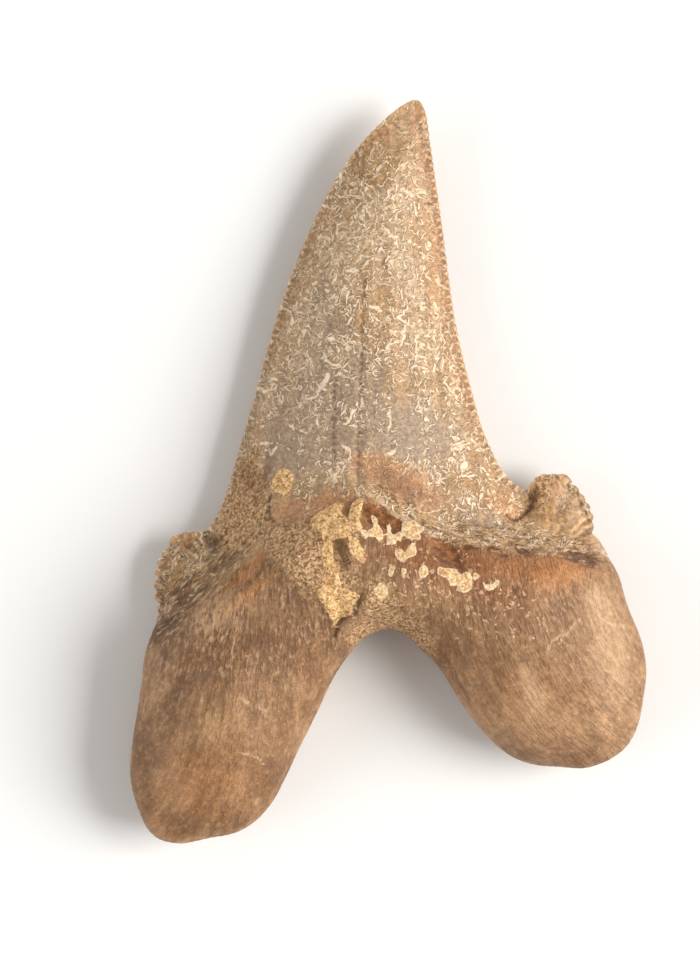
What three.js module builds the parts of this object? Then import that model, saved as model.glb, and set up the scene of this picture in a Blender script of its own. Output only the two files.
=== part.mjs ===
// A fossil tooth of a large serrated mackerel shark, lying on its flat outer (labial) face.
// Millimetres, +Z up. +Y runs from the root to the crown's tip, and Z = 0 is the surface it rests on.
// The inner (lingual) face looks up. The crown leans towards +X, the distal side; -X is the mesial side.
// The origin is at the middle of the resting tooth's outline, seen from above.

import * as THREE from "three";
import { ConvexHull } from "three/addons/math/ConvexHull.js";
import { ImprovedNoise } from "three/addons/math/ImprovedNoise.js";

// ---------------------------------------------------------------- driving dimensions

const CROWN_RIM_HEIGHT = 3.4; // cutting edges above the resting surface
const ROOT_RIM_HEIGHT = 5.0; // widest line of the root lobes above the resting surface
const RIM_CHANGE = { from: -3.5, to: 1.5 }; // above the neck: where the one turns into the other
const TIP_LIFT = 1.3; // how far the tip curves up, towards the lingual side
const TIP_Y = 39;
const LIFT_START_Y = 8;

const CROWN_SWELL = 1.0; // lingual bulge of the crown, as a share of the membrane's height
const CROWN_FLATNESS = 8; // larger is a flatter flank beside the cutting edge
const EDGE_BEVEL = 0.6; // width of the thin band along a cutting edge
const ROOT_SWELL = 0.72; // lingual bulge of the root
const CROWN_BELLY = 0.5; // labial bulge of the crown
const ROOT_BELLY = 0.66; // labial bulge of the root, worn flat where the tooth rests

const NECK_BLEND = 1.4; // half the width over which the crown's form turns into the root's
const NECK_CHANGE_REACH = 5; // this far in from the rim, the labial face no longer follows the lingual neck

// Ridges and grooves along a line: how far from the line, how wide, and how far they move the face.
const NECK_GROOVE = { offset: -1.3, width: 1.0, rise: -0.75 }; // the bare band below the lingual enamel
const CROWN_LIP = { offset: 0.5, width: 0.8, rise: 0.3 }; // the enamel's lower border stands a little proud
const SLIT_GROOVE = { offset: 0, width: 0.55, rise: -1.1 };
const BREAK_STEP = { offset: 0, width: 1.4, rise: 0.45 };
const LABIAL_GROOVE = { offset: -1.2, width: 1.2, rise: 0.55 };
const LEDGE = 2; // these forms and the swells grow from nothing over this distance from the rim
const UNEVENNESS = { width: 4.5, length: 6, rise: 0.3 }; // of the root

const CUTTING_SERRATION = { pitch: 0.82, depth: 0.2 };
const CUSPLET_SERRATION = { pitch: 1.25, depth: 0.42 };
const FINE_SERRATION = { pitch: 0.95, depth: 0.14 };
const POINTS_PER_SERRATION = 4;
const WORN_TIP = { from: 34, to: 39 }; // the serrations are worn away between these heights
const SERRATION_GROOVE_DEPTH = 0.14; // the grooves between serrations run a little way up the face
const SERRATION_GROOVE_REACH = 0.8;

const SMOOTH_RIM_STEP = 0.72; // spacing of the rim's points where it has no serrations
const GUIDE_REACH = 1.1; // rows of points this far to each side of a neck line
const FINE_GUIDE_REACH = 0.6; // and of the slit and the break
// Rows of points that follow the rim: how far in, and the least distance from the rim and each other.
const SERRATED_ROW = { reach: 0.85, margin: 0.45, gap: 0.3 };
const SMOOTH_ROWS = [
  { reach: 0.45, margin: 0.4, gap: 0.45 },
  { reach: 1.3, margin: 1.1, gap: 0.8 },
];
const INNER_ROW = { reach: 2.0, margin: 1.5, gap: 0.95 };
const GUIDE_ROW = { margin: 0.5, gap: 0.55 };
const FIELD = { step: 1.25, margin: 1.3, gap: 0.9, shift: 0.35 }; // the points over the rest of a face

// ---------------------------------------------------------------- outline

// Each stretch of the rim is a smooth curve through a few points. They follow each other
// counter-clockwise, and each starts where the one before it ends, in a corner or a bay.
const RIM = [
  {
    name: "mesial cutting edge",
    serration: CUTTING_SERRATION,
    points: [
      [2.4, 38.9], [0.8, 37.9], [-1.6, 35.8], [-4.3, 32.7], [-6.8, 28.5], [-9.1, 23.6], [-11.1, 18.5],
      [-12.7, 13.2], [-14.2, 7.7], [-15.8, 2.2], [-17.1, -2.2], [-18.1, -4.6], [-19.1, -6.2],
    ],
  },
  {
    name: "mesial cusplet, upper side",
    serration: FINE_SERRATION,
    points: [[-19.1, -6.2], [-20.8, -6.35], [-22.8, -6.6]],
  },
  {
    name: "mesial cusplet, outer side",
    serration: CUSPLET_SERRATION,
    points: [[-22.8, -6.6], [-23.3, -7.8], [-24.2, -9.0], [-24.6, -10.8], [-24.7, -12.9], [-24.2, -15.2]],
  },
  {
    name: "mesial root lobe",
    points: [
      [-24.2, -15.2], [-24.9, -16.9], [-25.6, -19.0], [-26.0, -22.2], [-26.4, -24.9], [-26.9, -28.0],
      [-27.2, -31.0], [-27.0, -33.2], [-26.3, -35.4], [-25.3, -37.6], [-24.0, -38.7], [-21.7, -39.1],
      [-19.0, -38.6], [-15.8, -37.9], [-13.7, -36.6], [-12.0, -34.6], [-10.6, -32.0], [-9.2, -29.0],
      [-7.4, -25.4], [-5.6, -21.6], [-3.9, -19.1], [-2.0, -17.2], [-0.1, -16.6],
    ],
  },
  {
    name: "distal root lobe",
    points: [
      [-0.1, -16.6], [1.6, -17.2], [3.4, -18.8], [5.4, -20.9], [7.0, -23.5], [8.8, -26.1], [11.0, -28.6],
      [13.2, -30.2], [15.4, -30.9], [18.0, -31.1], [20.6, -31.2], [23.0, -30.4], [25.0, -28.9],
      [26.2, -26.7], [26.8, -23.6], [27.1, -20.6], [26.5, -17.5], [25.1, -14.0], [24.2, -10.9],
      [22.9, -8.5], [21.7, -6.5],
    ],
  },
  {
    name: "distal cusplet, outer side",
    serration: CUSPLET_SERRATION,
    points: [[21.7, -6.5], [21.7, -4.7], [21.1, -3.2], [20.3, -2.0], [19.5, -1.0], [18.8, -0.3]],
  },
  {
    name: "distal cusplet, upper side",
    serration: FINE_SERRATION,
    points: [[18.8, -0.3], [17.2, -0.25], [15.9, -0.4], [15.1, -1.0], [14.6, -2.0]],
  },
  {
    name: "distal cutting edge",
    serration: CUTTING_SERRATION,
    points: [
      [14.6, -2.0], [13.0, -1.0], [11.8, 0.5], [10.8, 2.5], [9.8, 5.0], [8.9, 8.3], [7.8, 12.5], [6.9, 17.1],
      [6.2, 22.2], [5.5, 27.4], [4.9, 31.4], [4.4, 34.8], [3.8, 37.8], [3.2, 38.8], [2.4, 38.9],
    ],
  },
];

// ---------------------------------------------------------------- lines on the two faces

// The lower edge of the crown on the lingual face, a chevron between the two cusplets.
const NECK = [
  [-25.5, -17.0], [-24.1, -15.6], [-19.8, -12.1], [-15.6, -8.7], [-11.9, -6.1], [-8.2, -4.2], [-5.0, -2.8],
  [-2.8, -1.9], [-0.6, -3.1], [2.0, -5.0], [5.4, -6.5], [9.6, -7.4], [13.8, -7.9], [18.0, -8.0], [21.9, -8.3],
  [24.0, -9.0],
];
// The lower edge of the crown on the labial face, a low arch.
const LABIAL_NECK = [
  [-25.5, -15.5], [-21.0, -14.5], [-15.0, -11.5], [-9.0, -9.0], [-3.0, -7.6], [3.0, -7.8], [9.0, -9.2],
  [15.0, -10.2], [20.0, -9.6], [24.0, -8.4],
];
// The slit in which the cutting edge ends in front of the distal cusplet.
const SLIT = [[14.8, -1.6], [14.5, -3.0], [13.8, -4.2], [12.8, -4.9], [11.8, -5.0]];
// The step along a healed break, from the middle of the root to its arch.
const BREAK = [[-2.3, -12.7], [-3.0, -13.8], [-4.2, -14.6], [-4.9, -15.7], [-5.3, -17.2]];

// Smooth swells and hollows of the lingual face: centre, radii, turn in degrees, height.
const LINGUAL_SWELLS = [
  { name: "protuberance over the arch", x: 0.5, y: -12.2, rx: 7.5, ry: 4.2, turn: 0, height: 2.2 },
  { name: "mesial lobe", x: -17.5, y: -25.0, rx: 6.0, ry: 9.0, turn: -12, height: 0.7 },
  { name: "distal lobe", x: 17.0, y: -21.0, rx: 7.0, ry: 7.5, turn: 20, height: 0.8 },
  { name: "mesial shoulder", x: -14.5, y: -12.5, rx: 6.0, ry: 1.8, turn: 38, height: 0.7 },
  { name: "distal shoulder", x: 14.5, y: -11.2, rx: 7.5, ry: 1.7, turn: -4, height: 0.9 },
  { name: "mesial cusplet", x: -22.2, y: -10.5, rx: 3.0, ry: 4.5, turn: -20, height: -1.7 },
  { name: "distal cusplet", x: 17.6, y: -3.2, rx: 3.6, ry: 3.2, turn: 0, height: -1.2 },
  { name: "end of the mesial lobe", x: -20.5, y: -36.5, rx: 6.0, ry: 4.0, turn: 0, height: -0.9 },
];
// Hollows of the labial face, which lift it off the resting surface.
const LABIAL_HOLLOWS = [
  { name: "hollow over the arch", x: 0.3, y: -12.0, rx: 8.0, ry: 4.2, turn: 0, height: 2.4 },
  { name: "mesial gutter", x: -14.0, y: -15.5, rx: 7.0, ry: 2.4, turn: 25, height: 1.4 },
  { name: "distal gutter", x: 14.0, y: -14.0, rx: 7.0, ry: 2.4, turn: -8, height: 1.4 },
];

// ---------------------------------------------------------------- small helpers

const noise = new ImprovedNoise();

const smoothStep = (low, high, value) => THREE.MathUtils.smoothstep(value, low, high);
const mix = THREE.MathUtils.lerp;

// A smooth curve through points [x, y].
function curveThrough(points) {
  return new THREE.CatmullRomCurve3(
    points.map(([x, y]) => new THREE.Vector3(x, y, 0)),
    false,
    "centripetal",
  );
}

// The nearest place on a polyline of Vector3 to (x, y): its distance, and the side, + on its left.
function nearestOnPath(path, x, y) {
  let best = { distance: Infinity, side: 1 };
  for (let i = 0; i + 1 < path.length; i++) {
    const a = path[i];
    const dx = path[i + 1].x - a.x;
    const dy = path[i + 1].y - a.y;
    const along = THREE.MathUtils.clamp(((x - a.x) * dx + (y - a.y) * dy) / (dx * dx + dy * dy), 0, 1);
    const distance = Math.hypot(x - a.x - along * dx, y - a.y - along * dy);
    if (distance < best.distance) {
      best = { distance, side: Math.sign(dx * (y - a.y) - dy * (x - a.x)) || 1 };
    }
  }
  return best;
}

// Whether (x, y) lies inside a closed ring of Vector3.
function isInside(ring, x, y) {
  const crossings = ring.filter((a, i) => {
    const b = ring[(i + 1) % ring.length];
    return a.y > y !== b.y > y && x < a.x + ((y - a.y) * (b.x - a.x)) / (b.y - a.y);
  });
  return crossings.length % 2 === 1;
}

// How far a ridge moves the face at a distance from its line.
const ridgeAt = ({ offset, width, rise }, distance) => rise * Math.exp(-(((distance - offset) / width) ** 2));

// The sum of smooth round swells at (x, y).
function swellsAt(swells, x, y) {
  return swells.reduce((sum, { x: cx, y: cy, rx, ry, turn, height }) => {
    const angle = THREE.MathUtils.degToRad(turn);
    const u = ((x - cx) * Math.cos(angle) + (y - cy) * Math.sin(angle)) / rx;
    const v = ((y - cy) * Math.cos(angle) - (x - cx) * Math.sin(angle)) / ry;
    return sum + height * Math.exp(-(u * u + v * v));
  }, 0);
}

// ---------------------------------------------------------------- the rim

// The height of a serration above its notches, from 0 in a notch to 1 on its crest.
const serrationShape = (phase) => Math.abs(Math.sin(Math.PI * phase));

// Walks the outline and returns its points in order. Each has its place, the inward normal,
// the smooth curve's point under it, and the serration's crest height there (1 on a smooth rim).
function makeRim() {
  const rim = [];
  for (const { points, serration } of RIM) {
    const curve = curveThrough(points);
    const length = curve.getLength();
    const steps = serration
      ? Math.round(length / serration.pitch) * POINTS_PER_SERRATION
      : Math.round(length / SMOOTH_RIM_STEP);
    for (let i = 0; i < steps; i++) {
      const share = i / steps;
      const base = curve.getPointAt(share);
      const tangent = curve.getTangentAt(share);
      const inward = new THREE.Vector3(-tangent.y, tangent.x, 0);
      const crest = serration ? serrationShape(i / POINTS_PER_SERRATION) : 1;
      const kept = 1 - smoothStep(WORN_TIP.from, WORN_TIP.to, base.y);
      const cut = serration ? serration.depth * (1 - crest) * kept : 0;
      const place = base.clone().addScaledVector(inward, cut);
      rim.push({ place, base, inward, crest, serrated: Boolean(serration), step: i });
    }
  }
  return rim;
}

// ---------------------------------------------------------------- points over the faces

function makeFacePoints(rim, guides) {
  const outline = rim.map((p) => p.place);
  const closed = [...outline, outline[0]];
  const points = [];

  // Takes the point if it lies inside, at least margin from the rim and gap from the others.
  const offer = (x, y, { margin, gap }) => {
    if (!isInside(outline, x, y)) return;
    if (nearestOnPath(closed, x, y).distance < margin) return;
    if (points.some((p) => Math.hypot(p.x - x, p.y - y) < gap)) return;
    points.push(new THREE.Vector3(x, y, 0));
  };
  const offerRow = (places, row) => {
    for (const { base, inward } of places) {
      offer(base.x + inward.x * row.reach, base.y + inward.y * row.reach, row);
    }
  };

  // Just inside a cutting edge there is a point under each crest and each notch.
  const everyHalfSerration = rim.filter((p) => p.serrated && p.step % (POINTS_PER_SERRATION / 2) === 0);
  offerRow(everyHalfSerration, SERRATED_ROW);
  const smoothRim = rim.filter((p) => !p.serrated);
  SMOOTH_ROWS.forEach((row) => offerRow(smoothRim, row));

  // Rows of points along and beside the lines that are modelled on the faces.
  for (const { path, reach } of guides) {
    for (let i = 0; i < path.length; i++) {
      const before = path[Math.max(i - 1, 0)];
      const after = path[Math.min(i + 1, path.length - 1)];
      const across = new THREE.Vector3(before.y - after.y, after.x - before.x, 0).normalize();
      for (const offset of [-reach, 0, reach]) {
        offer(path[i].x + across.x * offset, path[i].y + across.y * offset, GUIDE_ROW);
      }
    }
  }

  // An even field of points over the rest, a little out of line so that no rows show.
  const everySecond = rim.filter((p) => p.step % 2 === 0);
  offerRow(everySecond, INNER_ROW);
  const box = new THREE.Box3().setFromPoints(outline);
  const rowStep = FIELD.step * Math.sqrt(0.75);
  for (let row = 0; box.min.y + row * rowStep < box.max.y; row++) {
    for (let column = 0; box.min.x + column * FIELD.step < box.max.x; column++) {
      const x = box.min.x + (column + (row % 2) / 2) * FIELD.step;
      const y = box.min.y + row * rowStep;
      const shift = FIELD.shift * noise.noise(x * 1.7, y * 1.7, 4.2);
      offer(x + shift, y - shift, FIELD);
    }
  }
  return points;
}

// The Delaunay triangles of flat points: the lower hull of the points lifted onto a paraboloid.
function triangulate(points) {
  const lifted = points.map((p, index) => {
    const place = new THREE.Vector3(p.x, p.y, p.x * p.x + p.y * p.y);
    place.index = index;
    return place;
  });
  const triangles = [];
  for (const face of new ConvexHull().setFromPoints(lifted).faces) {
    if (face.normal.z > -1e-6) continue;
    const corners = [face.edge, face.edge.next, face.edge.prev].map((edge) => edge.head().point.index);
    triangles.push([corners[0], corners[2], corners[1]]); // seen from above, counter-clockwise
  }
  return triangles;
}

// ---------------------------------------------------------------- the form

// A membrane blown up from the rim, by relaxation over the triangles. Its square root is a smooth
// measure of how deep inside the outline a point lies, W at the middle of a strip 2 W wide.
function inflateMembrane(points, triangles, rimCount) {
  const weights = points.map(() => new Map());
  const load = new Float64Array(points.length);
  for (const corners of triangles) {
    for (let k = 0; k < 3; k++) {
      const [a, b, c] = [corners[k], corners[(k + 1) % 3], corners[(k + 2) % 3]];
      const ca = points[a].clone().sub(points[c]);
      const cb = points[b].clone().sub(points[c]);
      const twiceArea = Math.abs(ca.x * cb.y - ca.y * cb.x);
      const cotangent = ca.dot(cb) / twiceArea / 2;
      weights[a].set(b, (weights[a].get(b) ?? 0) + cotangent);
      weights[b].set(a, (weights[b].get(a) ?? 0) + cotangent);
      load[c] += twiceArea / 6;
    }
  }
  const height = new Float64Array(points.length);
  const OVER_RELAXATION = 1.9;
  for (let pass = 0; pass < 400; pass++) {
    for (let i = rimCount; i < points.length; i++) {
      let pull = 2 * load[i];
      let total = 0;
      for (const [j, weight] of weights[i]) {
        pull += weight * height[j];
        total += weight;
      }
      height[i] += OVER_RELAXATION * (pull / total - height[i]);
    }
  }
  return Array.from(height, (h) => Math.sqrt(Math.max(h, 0)));
}

const neckPath = curveThrough(NECK).getSpacedPoints(44);
const labialNeckPath = curveThrough(LABIAL_NECK).getSpacedPoints(40);
const slitPath = curveThrough(SLIT).getSpacedPoints(8);
const breakPath = curveThrough(BREAK).getSpacedPoints(6);

// Distance above a neck line: positive on the crown, negative on the root.
function aboveNeck(path, x, y) {
  const { distance, side } = nearestOnPath(path, x, y);
  return distance * side;
}

// The middle surface between the faces, which the rim lies on, for a distance above a neck line.
function middleHeight(neck, y) {
  const rootShare = 1 - smoothStep(RIM_CHANGE.from, RIM_CHANGE.to, neck);
  const lift = TIP_LIFT * Math.max(0, (y - LIFT_START_Y) / (TIP_Y - LIFT_START_Y)) ** 2;
  return mix(CROWN_RIM_HEIGHT, ROOT_RIM_HEIGHT, rootShare) + lift;
}

function lingualHeight({ x, y, depth, toRim, crest }) {
  const neck = aboveNeck(neckPath, x, y);
  const rootShare = 1 - smoothStep(-NECK_BLEND, NECK_BLEND, neck);
  const bevel = toRim / (toRim + EDGE_BEVEL);
  const crown = CROWN_SWELL * (depth ** 2 / (depth + CROWN_FLATNESS)) * bevel;
  const root = ROOT_SWELL * depth;
  const ledge = Math.min(1, toRim / LEDGE);
  const border = ledge * (ridgeAt(NECK_GROOVE, neck) + ridgeAt(CROWN_LIP, neck));
  const slit = ridgeAt(SLIT_GROOVE, nearestOnPath(slitPath, x, y).distance);
  const fault = nearestOnPath(breakPath, x, y);
  const step = fault.side * ridgeAt(BREAK_STEP, fault.distance);
  const serrationGroove = -SERRATION_GROOVE_DEPTH * (1 - crest) * Math.exp(-toRim / SERRATION_GROOVE_REACH);
  const lumps = noise.noise(x / UNEVENNESS.width, y / UNEVENNESS.length, 1.3);
  const unevenness = UNEVENNESS.rise * rootShare * ledge * lumps;
  return (
    middleHeight(neck, y) + mix(crown, root, rootShare) + swellsAt(LINGUAL_SWELLS, x, y) * ledge +
    border + slit + step + serrationGroove + unevenness
  );
}

function labialHeight({ x, y, depth, toRim }) {
  const neck = aboveNeck(labialNeckPath, x, y);
  const rootShare = 1 - smoothStep(-NECK_BLEND, NECK_BLEND, neck);
  const bevel = toRim / (toRim + EDGE_BEVEL);
  const crown = CROWN_BELLY * (depth ** 2 / (depth + CROWN_FLATNESS)) * bevel;
  const root = ROOT_BELLY * depth;
  const ledge = Math.min(1, toRim / LEDGE);
  const gutter = ledge * ridgeAt(LABIAL_GROOVE, neck);
  const followed = mix(aboveNeck(neckPath, x, y), neck, smoothStep(0, NECK_CHANGE_REACH, toRim));
  const middle = middleHeight(followed, y);
  const below = middle - mix(crown, root, rootShare);
  return Math.max(0, below + gutter + swellsAt(LABIAL_HOLLOWS, x, y) * ledge);
}

// ---------------------------------------------------------------- the solid

function makeToothGeometry() {
  const rim = makeRim();
  const guides = [
    { path: neckPath, reach: GUIDE_REACH },
    { path: slitPath, reach: FINE_GUIDE_REACH },
    { path: breakPath, reach: FINE_GUIDE_REACH },
    { path: labialNeckPath, reach: GUIDE_REACH },
  ];
  const points = [...rim.map((p) => p.place), ...makeFacePoints(rim, guides)];
  const outline = rim.map((p) => p.place);
  const closed = [...outline, outline[0]];

  const isFace = ([a, b, c]) => {
    const x = (points[a].x + points[b].x + points[c].x) / 3;
    const y = (points[a].y + points[b].y + points[c].y) / 3;
    return isInside(outline, x, y);
  };
  const triangles = triangulate(points).filter(isFace);
  const depths = inflateMembrane(points, triangles, rim.length);

  const lingual = [];
  const labial = [];
  points.forEach((p, i) => {
    if (i < rim.length) {
      lingual.push(new THREE.Vector3(p.x, p.y, middleHeight(aboveNeck(neckPath, p.x, p.y), p.y)));
      return;
    }
    const toRim = nearestOnPath(closed, p.x, p.y).distance;
    const nearest = rim.reduce((best, q) =>
      q.place.distanceToSquared(p) < best.place.distanceToSquared(p) ? q : best,
    );
    const place = { x: p.x, y: p.y, depth: depths[i], toRim, crest: nearest.crest };
    lingual.push(new THREE.Vector3(p.x, p.y, lingualHeight(place)));
    labial.push(new THREE.Vector3(p.x, p.y, labialHeight(place)));
  });

  // Both faces share the rim's points, so the labial face's own points follow all the lingual ones.
  const toLabial = (i) => (i < rim.length ? i : i + points.length - rim.length);
  const index = triangles.flatMap(([a, b, c]) => [a, b, c, toLabial(a), toLabial(c), toLabial(b)]);
  const geometry = new THREE.BufferGeometry().setFromPoints([...lingual, ...labial]);
  geometry.setIndex(index);
  geometry.computeBoundingBox();
  const centre = geometry.boundingBox.getCenter(new THREE.Vector3());
  geometry.translate(-centre.x, -centre.y, 0);
  geometry.computeVertexNormals();
  return geometry;
}

const tooth = new THREE.Mesh(
  makeToothGeometry(),
  new THREE.MeshStandardMaterial({ color: 0xa8845f, roughness: 0.5, metalness: 0 }),
);
tooth.name = "tooth";

const fossil = new THREE.Group();
fossil.add(tooth);
export default fossil;
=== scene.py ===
"""Looks of a fossil shark tooth that lies on its outer face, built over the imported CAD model.

Lengths are in millimetres here, and become metres where a mesh, a light or the camera is made. The axes are
the CAD model's: +Y runs from the root to the crown's tip, +Z comes up out of the inner (lingual) face, and
+X is the distal side, which the crown leans to.
"""

import logging
import math
from collections.abc import Iterable, Sequence
from dataclasses import dataclass, field, replace
from enum import StrEnum
from functools import reduce

import bmesh
import bpy
import numpy as np
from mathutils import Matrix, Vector, noise


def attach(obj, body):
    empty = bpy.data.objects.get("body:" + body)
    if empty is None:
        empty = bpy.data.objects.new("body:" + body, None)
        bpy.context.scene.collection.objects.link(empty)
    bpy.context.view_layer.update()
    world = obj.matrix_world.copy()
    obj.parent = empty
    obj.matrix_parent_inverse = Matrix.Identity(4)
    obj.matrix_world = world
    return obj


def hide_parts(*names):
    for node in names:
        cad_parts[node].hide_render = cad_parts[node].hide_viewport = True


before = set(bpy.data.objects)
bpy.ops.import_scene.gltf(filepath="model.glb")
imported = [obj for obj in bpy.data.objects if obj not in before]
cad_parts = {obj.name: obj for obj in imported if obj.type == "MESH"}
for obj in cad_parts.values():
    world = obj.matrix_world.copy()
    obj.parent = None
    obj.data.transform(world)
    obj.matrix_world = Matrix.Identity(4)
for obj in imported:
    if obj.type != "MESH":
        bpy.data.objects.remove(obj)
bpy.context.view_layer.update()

MM = 0.001

log = logging.getLogger("tooth")

Point = tuple[float, float]
Span = tuple[float, float]
Triple = tuple[float, float, float]
Colour = tuple[float, float, float, float]
Socket = bpy.types.NodeSocket
Value = float | Socket


# ------------------------------------------------------------------ small helpers


def paint(code: str) -> Colour:
    """Turns a colour such as "#A07850" into the linear values that a shader takes.

    Args:
        code: The colour as six hexadecimal digits after a hash sign.

    Returns:
        Red, green, blue and an alpha of 1.
    """
    parts = [int(code[i : i + 2], 16) / 255 for i in (1, 3, 5)]
    linear = [p / 12.92 if p <= 0.04045 else ((p + 0.055) / 1.055) ** 2.4 for p in parts]
    return (*linear, 1.0)


def smooth_step(values: np.ndarray, low: float, high: float) -> np.ndarray:
    """Rises smoothly from 0 where values are low to 1 where they are high."""
    share = np.clip((values - low) / (high - low), 0, 1)
    return share * share * (3 - 2 * share)


def bell(values: np.ndarray, middle: float, width: float) -> np.ndarray:
    """A bell curve of height 1 around middle, as wide as width."""
    return np.exp(-(((values - middle) / width) ** 2))


def smooth_curve(points: Sequence[Point], spacing: float = 0.3) -> np.ndarray:
    """Lays points close together on a smooth curve through a few given ones.

    Args:
        points: The given points, in order.
        spacing: The wanted distance between neighbours.

    Returns:
        The curve's points as rows of x and y.
    """
    given = np.array(points, float)
    padded = np.vstack([2 * given[0] - given[1], given, 2 * given[-1] - given[-2]])
    stretches = []
    for before, start, end, after in zip(padded, padded[1:], padded[2:], padded[3:]):
        steps = max(2, round(np.linalg.norm(end - start) / spacing))
        t = np.linspace(0, 1, steps, endpoint=False)[:, None]
        straight = 2 * start + (end - before) * t
        bend = (2 * before - 5 * start + 4 * end - after) * t**2
        twist = (3 * start - before - 3 * end + after) * t**3
        stretches.append((straight + bend + twist) / 2)
    return np.vstack([*stretches, given[-1:]])


@dataclass(frozen=True)
class Nearest:
    """The nearest place on a path, for each of many points.

    Attributes:
        distance: How far away it is.
        side: +1 on the path's left, -1 on its right.
        along: How far along the path it lies.
    """

    distance: np.ndarray
    side: np.ndarray
    along: np.ndarray


def nearest_on_path(places: np.ndarray, path: np.ndarray) -> Nearest:
    """Finds the nearest place on a path for each of many points.

    Args:
        places: Rows that start with x and y.
        path: The path's points, as rows of x and y.

    Returns:
        The distances, sides and places along the path.
    """
    x, y = places[:, 0], places[:, 1]
    best = np.full(len(places), np.inf)
    side, along = np.ones(len(places)), np.zeros(len(places))
    walked = 0.0
    for (ax, ay), (bx, by) in zip(path, path[1:]):
        dx, dy = bx - ax, by - ay
        length = math.hypot(dx, dy)
        share = np.clip(((x - ax) * dx + (y - ay) * dy) / length**2, 0, 1)
        distance = np.hypot(x - ax - share * dx, y - ay - share * dy)
        nearer = distance < best
        best[nearer] = distance[nearer]
        side[nearer] = np.sign(dx * (y - ay) - dy * (x - ax))[nearer]
        along[nearer] = walked + share[nearer] * length
        walked += length
    return Nearest(best, side, along)


def depth_inside(places: np.ndarray, outline: Sequence[Point]) -> np.ndarray:
    """How deep inside a closed smooth outline each point lies.

    Args:
        places: Rows that start with x and y.
        outline: The outline's points, without the first one repeated.

    Returns:
        The distance to the outline, positive inside it and negative outside.
    """
    path = smooth_curve([*outline, outline[0]])
    x, y = places[:, 0], places[:, 1]
    inside = np.zeros(len(places), bool)
    for (ax, ay), (bx, by) in zip(path, path[1:]):
        if ay != by:
            crosses = (ay > y) != (by > y)
            inside ^= crosses & (x < ax + (y - ay) * (bx - ax) / (by - ay))
    return np.where(inside, 1, -1) * nearest_on_path(places, path).distance


def noise_at(places: np.ndarray, size: float | Sequence[float], seed: float = 0.0) -> np.ndarray:
    """Smooth noise at each point, from about -1 to 1, with lumps of one size or of one for each axis."""
    shifted = places / np.array(size) + seed
    return np.fromiter((noise.noise(p) for p in shifted.tolist()), float, len(places))


@dataclass(frozen=True)
class Lumps:
    """Random unevenness of a surface.

    Attributes:
        height: How far it goes up and down.
        size: How large its lumps are, alike in all directions or one size for each axis.
        seed: Another number gives other lumps.
    """

    height: float
    size: float | Triple
    seed: float

    def at(self, places: np.ndarray) -> np.ndarray:
        """How far the surface goes up or down at each point."""
        return self.height * noise_at(places, self.size, self.seed)


# ------------------------------------------------------------------ what lies where on the tooth


class Ground(StrEnum):
    """What a patch of the surface is made of. The value names its vertex attribute."""

    GRIT = "grit_mm"
    MATRIX = "matrix_mm"
    CRUST = "crust_mm"
    GLAZE = "glaze_mm"
    WORN = "worn_mm"


class Tint(StrEnum):
    """A soft stain or texture; some umber ones are painted shade and one veil one is partly painted light.
    The value names its vertex attribute.
    """

    ORANGE = "orange"
    GREY = "grey"
    UMBER = "umber"
    PALE = "pale"
    VEIL = "veil"
    FIBRE = "fibre"
    SPECKLE = "speckle"
    OCHRE = "ochre"
    RED = "red"
    RUST = "rust"
    STRIAE = "striae"


class Tone(StrEnum):
    """How a groove or a crack is coloured, or painted shadow along it. The value names its vertex attribute.
    """

    DARK = "shadow_line_mm"
    FAINT = "faint_mm"
    PALE = "pale_mm"


class Weather(StrEnum):
    """Slow random unevenness. The value names its vertex attribute."""

    TONE = "tone"
    CROWD = "crowd"
    WEAR = "wear"
    BAND = "band"


# How large the lumps of each unevenness are, along x, y and z.
WEATHER_SIZES: dict[Weather, Triple] = {
    Weather.TONE: (4.5, 5.5, 4.0),
    Weather.CROWD: (2.2, 3.0, 2.2),
    Weather.WEAR: (2.4, 3.6, 2.4),
    Weather.BAND: (1.0, 9.0, 2.5),
}


@dataclass(frozen=True)
class Patch:
    """A patch of the inner face with a ground of its own.

    Attributes:
        rise: How far it stands above its surroundings, or below them if negative.
        slope: How wide its sloping border is.
        outline: Its closed outline.
    """

    rise: float
    slope: float
    outline: tuple[Point, ...]


@dataclass(frozen=True)
class Stain:
    """A soft oval stain, or a patch of painted shade or light, on the inner face.

    Attributes:
        centre: Its middle.
        radii: Half its length and half its width.
        turn: How far its length is turned from the x axis, in degrees.
        strength: Its share of the colour at the middle.
    """

    centre: Point
    radii: Point
    turn: float
    strength: float

    def weight_at(self, places: np.ndarray) -> np.ndarray:
        """Works out the stain's share of the colour, which fades out from its middle.

        Args:
            places: Rows that start with x and y.

        Returns:
            One share for each point.
        """
        angle = math.radians(self.turn)
        x, y = places[:, 0] - self.centre[0], places[:, 1] - self.centre[1]
        along = (x * math.cos(angle) + y * math.sin(angle)) / self.radii[0]
        across = (y * math.cos(angle) - x * math.sin(angle)) / self.radii[1]
        return self.strength * np.exp(-(along**2 + across**2))


@dataclass(frozen=True)
class Groove:
    """A groove or crack in the inner face, or a thin ridge on it.

    Attributes:
        depth: How deep it is, or how high if negative.
        width: How wide it is.
        tone: How it is coloured, or painted shadow along it, or nothing if it has no colour of its own.
        path: Its course.
    """

    depth: float
    width: float
    tone: Tone | None
    path: tuple[Point, ...]


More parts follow.
